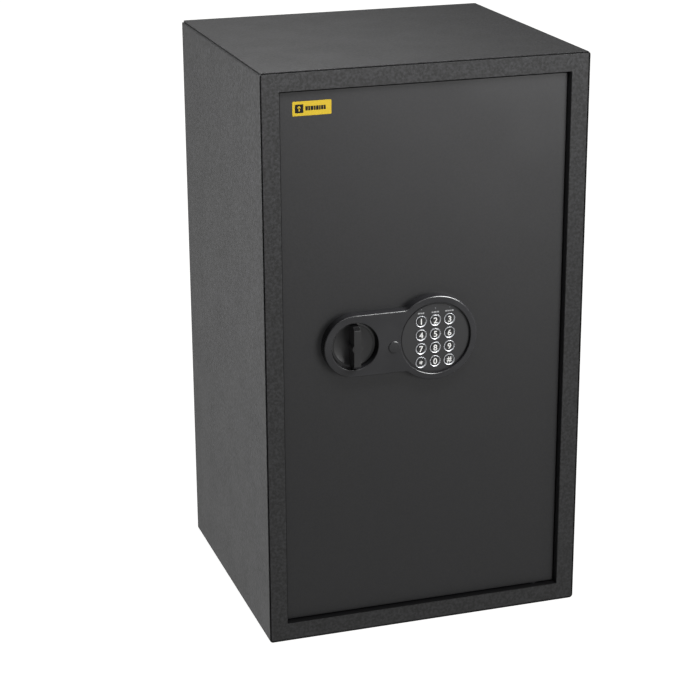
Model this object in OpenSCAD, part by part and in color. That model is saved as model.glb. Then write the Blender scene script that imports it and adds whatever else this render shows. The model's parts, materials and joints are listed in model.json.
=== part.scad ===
// Tall electronic home safe: folded steel cabinet, inset door on hidden pins, turn knob,
// round keypad, solenoid-blocked bolt work and a mechanical override lock.
// X is to the right, Y runs from the front to the back, Z is up. Millimetres.
// The origin is the centre of the cabinet's base.

/* [Cabinet] */
// Outside width of the cabinet
cab_w = 400; // [380:5:450]
// Outside depth of the cabinet
cab_d = 360; // [350:5:420]
// Outside height of the cabinet
cab_h = 700; // [640:5:800]
// Thickness of the folded body sheet
sheet_t = 2; // [1.5:0.5:2.5]
// Outside radius of the folded body edges
edge_r = 4.5; // [4:0.5:6]
// Width of the border around the door
border = 23; // [22:1:26]
// How far the border's edge folds back as a reveal
reveal_d = 27; // [26:0.5:28]
// Spacing of the anchor holes in the base and in the back
anchor_pitch = 200; // [120:10:240]
// Radius of an anchor hole
anchor_r = 6; // [4:0.5:8]
// Height of the anchor holes in the back
anchor_z = 560; // [520:10:620]

/* [Door] */
// Gap between the door and the reveal
door_gap = 2; // [2:0.5:3]
// How far the door's face sits behind the border's face
door_recess = 8; // [6:1:8]
// Thickness of the door plate
door_t = 4; // [3:0.5:4]
// Depth of the pan behind the door plate
pan_d = 40; // [40:1:46]
// Radius of a hinge pin
pin_r = 4; // [3:0.5:4.5]
// Distance from the hinge axis to the door's right edge
pin_inset = 26; // [26:1:28]

/* [Lock] */
// Height of the lock's centre line above the base
lock_z = 370.5; // [340:0.5:400]
// Position of the knob's axis across the door
knob_x = -91; // [-95:1:-89]
// Position of the keypad's centre across the door
pad_x = 9.5; // [8:0.5:14]
// How far the lock housing stands out from the door
housing_t = 13; // [12:0.5:14]
// Radius of the housing's lobe round the knob
knob_lobe_r = 38; // [36:0.5:40]
// Radius of the housing's lobe round the keypad
pad_lobe_r = 52; // [50:0.5:54]
// Radius of the knob's disc
knob_r = 27.3; // [25:0.1:27.5]
// Travel of the locking bolts
bolt_travel = 18; // [17.5:0.5:18]
// Radius of a locking bolt
bolt_r = 9; // [7:0.5:9]
// Height of each locking bolt above or below the lock
bolt_spread = 140; // [120:5:150]

/* [Keypad] */
// Spacing of the keys across
key_pitch_x = 17.8; // [17:0.1:18]
// Spacing of the keys down
key_pitch_z = 17; // [16.5:0.1:17.5]
// Radius of a key cap
key_r = 5.2; // [4.5:0.1:5.2]
// Travel of a key
key_travel = 1.2; // [0.8:0.1:1.4]

/* [Inside] */
// Height of the lower shelf
shelf_low_z = 230; // [200:5:260]
// Height of the upper shelf
shelf_high_z = 460; // [440:5:500]
// Thickness of the floor mat
mat_t = 3; // [2:0.5:4]

/* [Hidden] */
$fn = 48;
KEYS = ["key_1", "key_2", "key_3", "key_4", "key_5", "key_6",
        "key_7", "key_8", "key_9", "key_star", "key_0", "key_hash"];

coat = "#2b2b2c";       // powder-coated sheet
plastic = "#161617";    // moulded housing and knob
zinc = "#b9bcc0";       // plated steel
slack = 0.05;           // running clearance on a radius
eps = 1;                // how far a cutter runs past a face

// Cabinet planes
front_y = -cab_d / 2;
back_y = cab_d / 2;
face_inset = 0.5;                       // the border plate's step in from the shell
open_x = cab_w / 2 - border;            // half width of the door opening
open_z0 = border;
open_z1 = cab_h - border;
reveal_y = front_y + reveal_d;
in_x = cab_w / 2 - sheet_t;             // inside faces of the shell

// Door planes
door_x = open_x - door_gap;             // half width of the door plate
door_z0 = open_z0 + door_gap;
door_z1 = open_z1 - door_gap;
door_front = front_y + door_recess;
door_back = door_front + door_t;
hinge_x = door_x - pin_inset;
hinge_y = door_back + pin_r + 1.5;
pan_t = 1.5;
pan_x0 = -door_x + 17;
pan_x1 = hinge_x - 12;
pan_z0 = door_z0 + 15;
pan_z1 = door_z1 - 15;
pan_back = door_back + pan_d;
pan_lip = 14;
liner_t = 1.2;
liner_back = pan_back + liner_t;

// Hinge
bush_r = 7;
bush_len = 14;
collar_r = 9;
collar_t = 0.8;
block_h = 35;
pin_len = 49;

// Lock housing planes, from the front backwards
housing_front = door_front - housing_t;
band_half = knob_lobe_r;
outline_fillet = 7;
housing_wall = 2.5;
knob_well_r = knob_r + 1.5;
well_floor = door_front - 2;
bar_front = housing_front - 9;
pad_well_r = 44;
pad_ledge_r = 41;
face_front = housing_front + 3;
face_t = 2;
plug_x = knob_x + 48.3;
plug_z = lock_z - 5.5;
plug_r = 7;

// Keypad rows, measured from the lock's centre line
key_top = 21.5;
led_rise = 36;
led_r = 1.2;
ring_in = key_r + 0.3;
ring_out = ring_in + 1.3;
ring_h = 0.9;
key_proud = 1.2;
key_flange_r = 6.2;

// Bolt work: planes behind the door plate
cam_y = door_back + 3;
cam_t = 4;
cam_r = 17;
crank_r = bolt_travel / sqrt(2);        // a quarter turn moves the pin by the bolt travel
crank_pin_r = 2.5;
slide_y = door_back + 10.5;             // front face of the carriage
slide_t = 2.5;
slide_x0 = knob_x - 37;
slide_x1 = knob_x + 19;
slide_half = 170;
bolt_y = door_back + 27;
bolt_tip_x = -door_x + 2;
stud_x = knob_x - 21;
stud_rises = [-150, -60, 60, 150];
stud_r = 3;

// Solenoid that blocks the carriage
plunger_x = knob_x + 41;
plunger_y = slide_y + slide_t / 2;
plunger_r = 3;
plunger_z = lock_z + 42.5;              // tip of the plunger when drawn in
plunger_len = 34;
coil_r = 9.5;
frame_z0 = plunger_z + 11;
frame_z1 = frame_z0 + 38;
frame_half = 11;
lug_x = plunger_x + 14.5;               // blocking face of the carriage's lug
lug_top = plunger_z - 1;

// Override lock
core_r = 5;
lock_r = 8;
cam_arm = 13;
arm_y = slide_y + slide_t + 2;
arm_t = 2;

// Battery bay, on the liner
cell_r = 7.2;
cell_len = 50;
cell_pitch = 14.8;
bay_x0 = 24;
bay_len = 61;
bay_z0 = 240;
bay_h = 4 * cell_pitch + 3;
bay_depth = 17;
cover_rim = 4;
flange_t = 1;
channel_w = 3;

board_x = 30;
board_y = door_back + 8;
board_z = lock_z - 25;
board_w = 70;
board_h = 55;
board_t = 1.6;
board_screw_spots = [for (x = [4, board_w - 4], z = [4, board_h - 4]) [board_x + x, board_z + z]];

reset_x = 110;
reset_r = 4;
shelf_t = 1.2;
shelf_lip = 15;
shelf_y0 = front_y + 80;
rail_leg = 15;
liner_screw_xs = [pan_x0 + 7, (pan_x0 + pan_x1) / 2, pan_x1 - 7];
liner_screw_zs = [pan_z0 + 7, pan_z1 - 7];
housing_screw_spots = [[knob_x - 32, lock_z], [plug_x + 1, lock_z + 25],
                       [plug_x + 1, lock_z - 27], [pad_x + 47.5, lock_z]];

function key_x(i) = pad_x + (i % 3 - 1) * key_pitch_x;
function key_z(i) = lock_z + key_top - floor(i / 3) * key_pitch_z;

// ---------- shapes used by several pieces ----------

module slab(x0, x1, y0, y1, z0, z1) {
    translate([x0, y0, z0]) cube([x1 - x0, y1 - y0, z1 - z0]);
}

// Extrudes an outline drawn in X and Z from y0 back to y1.
module deep(y0, y1) {
    translate([0, y1, 0]) rotate([90, 0, 0]) linear_extrude(y1 - y0) children();
}

module y_rod(x, z, y0, y1, r) {
    translate([x, y1, z]) rotate([90, 0, 0]) cylinder(r = r, h = y1 - y0);
}

module x_rod(x0, x1, y, z, r) {
    translate([x0, y, z]) rotate([0, 90, 0]) cylinder(r = r, h = x1 - x0);
}

module z_rod(x, y, z0, z1, r) {
    translate([x, y, z0]) cylinder(r = r, h = z1 - z0);
}

// Rectangle from the base up, centred on X, with true round corners.
module panel_outline(half_w, z0, z1, r) {
    translate([-half_w + r, z0]) square([2 * (half_w - r), z1 - z0]);
    translate([-half_w, z0 + r]) square([2 * half_w, z1 - z0 - 2 * r]);
    for (x = [-half_w + r, half_w - r], z = [z0 + r, z1 - r]) translate([x, z]) circle(r);
}

module slot_outline(x0, x1, z, r) {
    translate([x0, z - r]) square([x1 - x0, 2 * r]);
    for (x = [x0, x1]) translate([x, z]) circle(r);
}

// Ring turned about the Y axis through (x, z).
module turned(x, z) {
    translate([x, 0, z]) rotate([-90, 0, 0]) rotate_extrude() children();
}

// ---------- cabinet ----------

module body_shell() color(coat) difference() {
    deep(front_y + sheet_t, back_y) difference() {
        panel_outline(cab_w / 2, 0, cab_h, edge_r);
        panel_outline(in_x, sheet_t, cab_h - sheet_t, edge_r - sheet_t);
    }
    for (side = [-1, 1])
        z_rod(side * anchor_pitch / 2, 0, -eps, sheet_t + eps, anchor_r);
}

module back_panel() color(coat) difference() {
    deep(back_y - sheet_t - 0.5, back_y - 0.5)
        panel_outline(in_x, sheet_t, cab_h - sheet_t, edge_r - sheet_t);
    for (side = [-1, 1])
        y_rod(side * anchor_pitch / 2, anchor_z, back_y - 10, back_y + eps, anchor_r);
}

module opening_outline(grow) {
    translate([-open_x - grow, open_z0 - grow])
        square([2 * (open_x + grow), open_z1 - open_z0 + 2 * grow]);
}

module front_frame() color(coat) difference() {
    union() {
        deep(front_y, front_y + sheet_t) difference() {
            panel_outline(cab_w / 2 - face_inset, face_inset, cab_h - face_inset,
                          edge_r - face_inset);
            opening_outline(0);
        }
        deep(front_y + sheet_t, reveal_y) difference() {
            opening_outline(sheet_t);
            opening_outline(0);
        }
    }
    z_rod(hinge_x, hinge_y, open_z0 - sheet_t - eps, open_z0 + eps, bush_r);
    z_rod(hinge_x, hinge_y, open_z1 - eps, open_z1 + sheet_t + eps, bush_r);
}

module bush() difference() {
    union() {
        z_rod(hinge_x, hinge_y, 0, bush_len, bush_r);
        z_rod(hinge_x, hinge_y, -collar_t, 0, collar_r);
    }
    z_rod(hinge_x, hinge_y, -collar_t - eps, bush_len + eps, pin_r + slack);
}

module hinge_bushes() color(zinc) {
    translate([0, 0, open_z1]) bush();
    translate([0, 0, open_z0]) mirror([0, 0, 1]) bush();
}

module shelf(z) {
    half = in_x - 3;
    y1 = back_y - 8;
    slab(-half, half, shelf_y0, y1, z, z + shelf_t);
    for (y = [shelf_y0, y1 - shelf_t])
        slab(-half + rail_leg, half - rail_leg, y, y + shelf_t, z - shelf_lip, z);
}

module shelf_upper() color(coat) shelf(shelf_high_z);
module shelf_lower() color(coat) shelf(shelf_low_z);

module rail(z) {
    y1 = back_y - 10;
    slab(in_x - rail_leg, in_x, shelf_y0 + 2, y1, z - pan_t, z);
    slab(in_x - pan_t, in_x, shelf_y0 + 2, y1, z - rail_leg, z - pan_t);
}

module shelf_rails() color(coat)
    for (z = [shelf_low_z, shelf_high_z]) {
        rail(z);
        mirror([1, 0, 0]) rail(z);
    }

module floor_mat() color("#3a3c40") difference() {
    slab(-in_x + 3, in_x - 3, reveal_y + 3, back_y - 5, sheet_t, sheet_t + mat_t);
    for (side = [-1, 1])
        z_rod(side * anchor_pitch / 2, 0, 0, sheet_t + mat_t + eps, anchor_r + 3);
}

// ---------- door ----------

module door_plate() color(coat) difference() {
    slab(-door_x, door_x, door_front, door_back, door_z0, door_z1);
    y_rod(knob_x, lock_z, door_front - eps, door_back + eps, 6);
    y_rod(plug_x, plug_z, door_front - eps, door_back + eps, lock_r + 0.1);
    y_rod(pad_x, lock_z, door_front - eps, door_back + eps, 8);
    for (s = housing_screw_spots) y_rod(s[0], s[1], door_front - eps, door_back + eps, 2.2);
}

module pan_outline(inset) {
    translate([pan_x0 + inset, pan_z0 + inset])
        square([pan_x1 - pan_x0 - 2 * inset, pan_z1 - pan_z0 - 2 * inset]);
}

module screw_holes(y0, y1, r)
    for (x = liner_screw_xs, z = liner_screw_zs) y_rod(x, z, y0, y1, r);

module door_pan() color(coat) difference() {
    union() {
        deep(door_back, pan_back) difference() {
            pan_outline(0);
            pan_outline(pan_t);
        }
        deep(pan_back - pan_t, pan_back) difference() {
            pan_outline(pan_t);
            pan_outline(pan_lip);
        }
    }
    for (side = [-1, 1])
        x_rod(pan_x0 - eps, pan_x0 + pan_t + eps, bolt_y, lock_z + side * bolt_spread,
              bolt_r + 0.3);
    screw_holes(pan_back - 5, pan_back + eps, 2);
}

module door_liner() color(coat) difference() {
    deep(pan_back, liner_back) pan_outline(0);
    slab(bay_x0, bay_x0 + bay_len, pan_back - eps, liner_back + eps, bay_z0, bay_z0 + bay_h);
    y_rod(reset_x, lock_z, pan_back - eps, liner_back + eps, reset_r + 0.3);
    screw_holes(pan_back - eps, liner_back + eps, 2.1);
}

module liner_screws() color(zinc)
    for (x = liner_screw_xs, z = liner_screw_zs) {
        y_rod(x, z, pan_back - 6, liner_back, 1.95);
        y_rod(x, z, liner_back, liner_back + 1.8, 4);
    }

module hinge_blocks() color(zinc)
    for (z = [door_z0, door_z1 - block_h]) difference() {
        slab(hinge_x - 8, hinge_x + 8, door_back, hinge_y + 8, z, z + block_h);
        z_rod(hinge_x, hinge_y, z - eps, z + block_h + eps, pin_r);
    }

module hinge_pins() color(zinc) {
    z_rod(hinge_x, hinge_y, door_z0 + block_h - pin_len, door_z0 + block_h, pin_r);
    z_rod(hinge_x, hinge_y, door_z1 - block_h, door_z1 - block_h + pin_len, pin_r);
}

module thrust_washer() color("white") difference() {
    z_rod(hinge_x, hinge_y, open_z0 + collar_t + 0.1, door_z0 - 0.05, 8);
    z_rod(hinge_x, hinge_y, open_z0, door_z0 + eps, pin_r + slack);
}

module name_label() color("#f2d21f")
    slab(-door_x + 15, -door_x + 61, door_front - 0.4, door_front,
         door_z1 - 28, door_z1 - 11.5);

// ---------- lock housing and keypad ----------

function arc(centre, r, from, to, steps) =
    [for (i = [0:steps])
        let (angle = from + (to - from) * i / steps)
        centre + r * [cos(angle), sin(angle)]];

// Outline of the housing: two round lobes and a straight band, with blended inside corners.
module housing_outline(inset) {
    blend_r = outline_fillet + inset;
    reach = pad_lobe_r + outline_fillet;
    rise = band_half + outline_fillet;
    lean = asin(rise / reach);
    blend_x = pad_x - reach * cos(lean);
    translate([0, lock_z]) polygon(concat(
        arc([knob_x, 0], knob_lobe_r - inset, 90, 270, 30),
        arc([blend_x, -rise], blend_r, 90, lean, 5),
        arc([pad_x, 0], pad_lobe_r - inset, 180 + lean, 540 - lean, 44),
        arc([blend_x, rise], blend_r, -lean, -90, 5)));
}

module lock_housing() color(plastic) difference() {
    deep(housing_front, door_front) housing_outline(0);
    // hollow from behind, leaving the wells' walls and the screw bosses
    deep(housing_front + housing_wall, door_front + eps) difference() {
        housing_outline(housing_wall);
        translate([knob_x, lock_z]) circle(knob_well_r + 2);
        translate([pad_x, lock_z]) circle(pad_well_r + 1.5);
        translate([plug_x, plug_z]) circle(lock_r + 2);
        for (s = housing_screw_spots) translate(s) circle(4);
    }
    y_rod(knob_x, lock_z, housing_front - eps, well_floor, knob_well_r);
    y_rod(knob_x, lock_z, well_floor - eps, door_front + eps, 6);
    y_rod(pad_x, lock_z, housing_front - eps, face_front + face_t, pad_well_r);
    y_rod(pad_x, lock_z, housing_front, door_front + eps, pad_ledge_r);
    y_rod(plug_x, plug_z, housing_front - eps, housing_front + 2.5, plug_r - 1.4);
    y_rod(plug_x, plug_z, housing_front + 2, door_front + eps, lock_r + 0.1);
    for (s = housing_screw_spots) y_rod(s[0], s[1], housing_front + 4, door_front + eps, 1.9);
}

module housing_screws() color(zinc)
    for (s = housing_screw_spots) {
        y_rod(s[0], s[1], housing_front + 4.5, door_back, 1.85);
        y_rod(s[0], s[1], door_back, door_back + 2.4, 4.2);
    }

module keypad_face() color("#3d3d3f") difference() {
    y_rod(pad_x, lock_z, face_front, face_front + face_t, pad_well_r - 0.2);
    for (i = [0:11])
        y_rod(key_x(i), key_z(i), face_front - eps, face_front + face_t + eps, ring_in);
    for (i = [0:2])
        y_rod(key_x(i), lock_z + led_rise, face_front - eps, face_front + face_t + eps, led_r);
}

module key_rings() color("silver")
    for (i = [0:11]) turned(key_x(i), key_z(i))
        polygon([[ring_in, face_front], [ring_out, face_front],
                 [ring_out - 0.35, face_front - ring_h], [ring_in + 0.25, face_front - 0.3]]);

module status_leds() color("#d9dcd2")
    for (i = [0:2])
        y_rod(key_x(i), lock_z + led_rise, face_front - 0.3, face_front + face_t, led_r - 0.05);

module key(i) color(plastic) {
    back = face_front + face_t;
    y_rod(key_x(i), key_z(i), face_front - key_proud, back + 0.6, key_r);
    y_rod(key_x(i), key_z(i), back + 0.5, back + 1.5, key_flange_r);
    y_rod(key_x(i), key_z(i), back + 1.4, back + 2.4, key_r - 2);
}

module keypad_membrane() color("#7c7f84") {
    back = face_front + face_t;
    y_rod(pad_x, lock_z, back + 3.8, back + 4.8, pad_ledge_r - 1);
}

module keypad_board() color("#1f6b3a") {
    back = face_front + face_t;
    y_rod(pad_x, lock_z, back + 4.9, back + 6.5, pad_ledge_r - 1);
    slab(pad_x - 6, pad_x + 6, back + 6.5, back + 9.5, lock_z - 3, lock_z + 3);
}

module keyhole_plug() color(plastic) {
    y_rod(plug_x, plug_z, housing_front - 1.2, housing_front, plug_r);
    y_rod(plug_x, plug_z, housing_front, housing_front + 1.8, plug_r - 1.7);
}

// ---------- override lock ----------

module override_lock_body() color(zinc) difference() {
    y_rod(plug_x, plug_z, housing_front + 2.6, door_back + 9, lock_r);
    y_rod(plug_x, plug_z, housing_front, door_back + 9 + eps, core_r + slack);
}

module override_lock_nut() color(zinc) difference() {
    translate([plug_x, door_back + 3.5, plug_z]) rotate([90, 0, 0])
        cylinder(r = 12, h = 3.5, $fn = 6);
    y_rod(plug_x, plug_z, door_back - eps, door_back + 3.5 + eps, lock_r + slack);
}

module override_core() color("#c9b36a") difference() {
    y_rod(plug_x, plug_z, housing_front + 2.8, arm_y, core_r);
    slab(plug_x - 1, plug_x + 1, housing_front + 2, housing_front + 20, plug_z - 3.5, plug_z + 3.5);
}

module override_cam() color(zinc) {
    y_rod(plug_x, plug_z, arm_y, arm_y + arm_t, core_r);
    slab(plug_x - cam_arm + 2.5, plug_x, arm_y, arm_y + arm_t, plug_z - 2.5, plug_z + 2.5);
    y_rod(plug_x - cam_arm + 2.5, plug_z, arm_y, arm_y + arm_t, 2.5);
}

// ---------- knob and its drive ----------

// Grip bar: a straight bar with chamfered ends and a round hub at its middle.
module knob_grip() {
    bar_back = well_floor - 1;
    half = knob_r - 1.3;
    translate([knob_x - 4.4, 0, lock_z]) rotate([90, 0, 90]) linear_extrude(8.8)
        polygon([[bar_back, -half], [bar_front + 6, -half], [bar_front, -half + 3.7],
                 [bar_front, half - 3.7], [bar_front + 6, half], [bar_back, half]]);
    y_rod(knob_x, lock_z, bar_front, bar_back, 6.4);
}

module knob() color(plastic) difference() {
    union() {
        // dished disc
        turned(knob_x, lock_z) polygon([
            [0, well_floor - 0.5], [knob_r - 0.5, well_floor - 0.5], [knob_r, well_floor - 1],
            [knob_r, well_floor - 2.9], [knob_r - 0.6, well_floor - 3.5],
            [knob_r - 2.5, well_floor - 3.5], [15, well_floor - 2.2], [0, well_floor - 2]]);
        knob_grip();
    }
    y_rod(knob_x, lock_z, well_floor - 6, well_floor, 4);
}

module knob_spindle() color(zinc)
    y_rod(knob_x, lock_z, well_floor - 6, cam_y + cam_t, 4);

module spindle_bush() color("white") difference() {
    union() {
        y_rod(knob_x, lock_z, door_front, door_back, 6);
        y_rod(knob_x, lock_z, door_back, door_back + 1, 8.5);
    }
    y_rod(knob_x, lock_z, door_front - eps, door_back + 1 + eps, 4 + slack);
}

module drive_cam() color(zinc) difference() {
    union() {
        y_rod(knob_x, lock_z, cam_y, cam_y + cam_t, cam_r);
        y_rod(knob_x, lock_z, cam_y - 1.5, cam_y, 7);
        y_rod(knob_x + crank_r / sqrt(2), lock_z + crank_r / sqrt(2), cam_y + cam_t - eps,
              slide_y + slide_t + 1, crank_pin_r);
    }
    y_rod(knob_x, lock_z, cam_y - 3, cam_y + cam_t + eps, 4);
}

// ---------- bolt work ----------

// Flat plate with guide slots, the cam's slot and the lug that the plunger blocks.
module carriage_outline() {
    crank = crank_r / sqrt(2);
    difference() {
        union() {
            translate([slide_x0, lock_z - slide_half])
                square([slide_x1 - slide_x0, 2 * slide_half]);
            translate([slide_x1 - eps, lock_z + 26])
                square([lug_x - slide_x1 + eps, 8]);
            polygon([[lug_x - 11, lock_z + 33], [lug_x - 3, lug_top], [lug_x, lug_top],
                     [lug_x, lock_z + 33]]);
        }
        for (dz = stud_rises)
            slot_outline(stud_x, stud_x + bolt_travel, lock_z + dz, stud_r + 0.3);
        translate([knob_x + crank, lock_z]) rotate(90)
            slot_outline(crank, crank_r, 0, crank_pin_r + 0.5);
    }
}

module bolt_carriage() color(zinc) difference() {
    union() {
        deep(slide_y, slide_y + slide_t) carriage_outline();
        slab(slide_x0 - 2.5, slide_x0, slide_y, bolt_y + bolt_r,
             lock_z - slide_half, lock_z + slide_half);
    }
    for (side = [-1, 1])
        x_rod(slide_x0 - 5, slide_x0 + eps, bolt_y, lock_z + side * bolt_spread, 5);
}

module locking_bolts() color("#d5d7da")
    for (side = [-1, 1]) {
        z = lock_z + side * bolt_spread;
        x_rod(bolt_tip_x + 1.5, slide_x0 - 2.5, bolt_y, z, bolt_r);
        translate([bolt_tip_x, bolt_y, z]) rotate([0, 90, 0])
            cylinder(r1 = bolt_r - 1.5, r2 = bolt_r, h = 1.5);
        x_rod(slide_x0 - 2.5, slide_x0, bolt_y, z, 5);
        x_rod(slide_x0, slide_x0 + 2, bolt_y, z, 6.5);
    }

module guide_studs() color(zinc)
    for (dz = stud_rises) turned(stud_x, lock_z + dz) polygon([
        [0, door_back], [5, door_back], [5, slide_y - 0.3], [stud_r, slide_y - 0.3],
        [stud_r, slide_y + slide_t + 0.3], [6, slide_y + slide_t + 0.3],
        [6, slide_y + slide_t + 2.5], [0, slide_y + slide_t + 2.5]]);

// ---------- solenoid ----------

module solenoid_frame() color(zinc) difference() {
    union() {
        slab(plunger_x - frame_half, plunger_x + frame_half, door_back, door_back + 1.5,
             frame_z0 - 8, frame_z1 + 8);
        for (z = [frame_z0, frame_z1 - 1.5])
            slab(plunger_x - frame_half, plunger_x + frame_half, door_back + 1.5,
                 plunger_y + frame_half, z, z + 1.5);
    }
    z_rod(plunger_x, plunger_y, frame_z0 - eps, frame_z0 + 1.5 + eps, plunger_r + 0.3);
    for (z = [frame_z0 - 4, frame_z1 + 4])
        y_rod(plunger_x, z, door_back - eps, door_back + 1.5 + eps, 2);
}

module solenoid_coil() color("#8c3b1e") difference() {
    z_rod(plunger_x, plunger_y, frame_z0 + 1.5, frame_z1 - 1.5, coil_r);
    z_rod(plunger_x, plunger_y, frame_z0, frame_z1 - 3.5, plunger_r + slack);
}

module solenoid_plunger() color("#d5d7da")
    z_rod(plunger_x, plunger_y, plunger_z, plunger_z + plunger_len, plunger_r);

// Stands for a coil spring above the plunger, inside the coil's bore.
module plunger_spring() color(zinc) difference() {
    z_rod(plunger_x, plunger_y, plunger_z + plunger_len + 0.1, frame_z1 - 3.6, 2.7);
    z_rod(plunger_x, plunger_y, plunger_z + plunger_len, frame_z1 - 3, 2);
}

// Strip that the override cam lifts, clipped round the plunger.
module release_link() color(zinc) {
    foot_z = plug_z + cam_arm + 0.3;
    clip_z = plunger_z + 8;
    difference() {
        union() {
            z_rod(plunger_x, plunger_y, clip_z, clip_z + 2.5, 5);
            slab(plunger_x - 4, plunger_x + 4, plunger_y, arm_y + arm_t, clip_z, clip_z + 2.5);
        }
        z_rod(plunger_x, plunger_y, clip_z - eps, clip_z + 4, plunger_r);
    }
    slab(plunger_x - 4, plunger_x + 4, arm_y, arm_y + arm_t, foot_z, clip_z + 2.5);
    slab(plunger_x - 4, plug_x + 5, arm_y, arm_y + arm_t, foot_z, foot_z + 3);
}

// ---------- electronics and battery bay ----------

// Strip beside the cover with a lip over its edge.
module cover_channel() {
    x1 = -bay_len / 2 - cover_rim - 0.3;
    slab(x1 - channel_w, x1, liner_back, liner_back + flange_t + 3.2, bay_z0 - 5, bay_z0 + bay_h + 5);
    slab(x1 - 1, x1 + 1.5, liner_back + flange_t + 2.4, liner_back + flange_t + 3.2,
         bay_z0 - 5, bay_z0 + bay_h + 5);
}

module battery_tray() color(plastic) difference() {
    union() {
        slab(bay_x0, bay_x0 + bay_len, liner_back - bay_depth, liner_back + flange_t,
             bay_z0, bay_z0 + bay_h);
        slab(bay_x0 - cover_rim - 1, bay_x0 + bay_len + cover_rim + 1,
             liner_back, liner_back + flange_t, bay_z0 - 5, bay_z0 + bay_h + 5);
        translate([bay_x0 + bay_len / 2, 0, 0]) {
            cover_channel();
            mirror([1, 0, 0]) cover_channel();
        }
    }
    slab(bay_x0 + 1.5, bay_x0 + bay_len - 1.5, liner_back - bay_depth + 1.5, liner_back + 2 * eps,
         bay_z0 + 1.5, bay_z0 + bay_h - 1.5);
}

module batteries() color("#7a1f1a")
    for (i = [0:3]) {
        z = bay_z0 + 1.5 + cell_pitch * (i + 0.5);
        y = liner_back - bay_depth + 1.6 + cell_r;
        flip = i % 2;
        x0 = bay_x0 + 4.5;
        x_rod(x0 + flip * 1.5, x0 + flip * 1.5 + cell_len - 1.5, y, z, cell_r);
        x_rod(x0 + (1 - flip) * (cell_len - 1.5 - eps), x0 + (1 - flip) * (cell_len - 1.5) + 1.5 + flip,
              y, z, 2.7);
    }

module battery_cover() color(plastic) {
    front = liner_back + flange_t + 0.1;
    difference() {
        slab(bay_x0 - cover_rim, bay_x0 + bay_len + cover_rim, front, front + 2,
             bay_z0 - cover_rim, bay_z0 + bay_h + cover_rim);
        slab(bay_x0 + bay_len / 2 - 10, bay_x0 + bay_len / 2 + 10, front + 1.2, front + 3,
             bay_z0 + 6, bay_z0 + 14);
    }
}

module control_board() color("#1f6b3a") {
    slab(board_x, board_x + board_w, board_y, board_y + board_t, board_z, board_z + board_h);
    for (spot = board_screw_spots) y_rod(spot[0], spot[1], door_back, board_y, 2.5);
    parts_y = board_y + board_t;
    slab(board_x + 25, board_x + 43, parts_y, parts_y + 2.4, board_z + 20, board_z + 38);
    for (x = [12, 58]) y_rod(board_x + x, board_z + 14, parts_y, parts_y + 8.4, 4);
    slab(board_x + 2, board_x + 8, parts_y, parts_y + 5.4, board_z + 22, board_z + 40);
}

// Screws that hold the solenoid's frame and the control board.
module bracket_screws() color(zinc) {
    for (z = [frame_z0 - 4, frame_z1 + 4]) {
        y_rod(plunger_x, z, door_back, door_back + 1.5, 1.9);
        y_rod(plunger_x, z, door_back + 1.5, door_back + 3.5, 3.4);
    }
    for (spot = board_screw_spots)
        y_rod(spot[0], spot[1], board_y + board_t, board_y + board_t + 2, 2.8);
}

module reset_switch() color("#202225") difference() {
    y_rod(reset_x, lock_z, pan_back - 12, pan_back, 7);
    y_rod(reset_x, lock_z, pan_back - 9, pan_back + eps, reset_r + 0.3);
}

module reset_button() color("#b3261e")
    y_rod(reset_x, lock_z, pan_back - 6, liner_back + 1.5, reset_r);

// Wires inside the pan, each a tube swept along its own points.
wire_r = 1.1;
wire_routes = [
    // battery bay to board
    [[50, door_back + 20, bay_z0 + bay_h + 1], [50, door_back + 20, bay_z0 + bay_h + 12],
     [44, door_back + 18, bay_z0 + bay_h + 26], [34, door_back + 17, lock_z - 20],
     [33, door_back + 16.5, lock_z - 6]],
    // board to solenoid
    [[35, door_back + 16.5, lock_z + 12], [30, door_back + 20, lock_z + 30],
     [10, door_back + 20, lock_z + 62], [-20, door_back + 16, lock_z + 74],
     [plunger_x + coil_r + 1.5, plunger_y, lock_z + 74]],
    // board to reset switch
    [[94, door_back + 9.6, lock_z + 4], [95, door_back + 15, lock_z + 4],
     [reset_x - 6, door_back + 21, lock_z + 2], [reset_x, pan_back - 12, lock_z]],
    // keypad cable
    [[pad_x, door_front + 1, lock_z], [pad_x, door_back + 4, lock_z],
     [pad_x + 4, door_back + 12, lock_z + 1], [pad_x + 14, door_back + 16, lock_z + 2],
     [31, door_back + 16.5, lock_z + 4]]
];

function unit(v) = v / norm(v);
// A point on the smooth curve through four neighbours.
function spline(a, b, c, d, t) =
    0.5 * (2 * b + (c - a) * t + (2 * a - 5 * b + 4 * c - d) * t * t
           + (3 * b - a - 3 * c + d) * t * t * t);
function smooth(p, steps = 6) =
    let (n = len(p) - 1)
    [for (i = [0:n - 1], s = [0:steps - (i == n - 1 ? 0 : 1)])
        spline(p[max(i - 1, 0)], p[i], p[i + 1], p[min(i + 2, n)], s / steps)];

module tube(route, r, sides = 8) {
    path = smooth(route);
    n = len(path);
    rings = [for (i = [0:n - 1])
        let (along = unit(path[min(i + 1, n - 1)] - path[max(i - 1, 0)]),
             side = unit(cross(along, [0.31, 0.17, 0.93])),
             up = cross(side, along))
        for (k = [0:sides - 1])
            path[i] + r * (cos(360 * k / sides) * side + sin(360 * k / sides) * up)];
    walls = [for (i = [0:n - 2], k = [0:sides - 1])
        let (a = i * sides + k, b = i * sides + (k + 1) % sides)
        [a, a + sides, b + sides, b]];
    polyhedron(rings, concat([[for (k = [0:sides - 1]) k]], walls,
                             [[for (k = [sides - 1:-1:0]) (n - 1) * sides + k]]));
}

module wiring() color("#a02020") for (route = wire_routes) tube(route, wire_r);

// ---------- the nodes ----------

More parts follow.
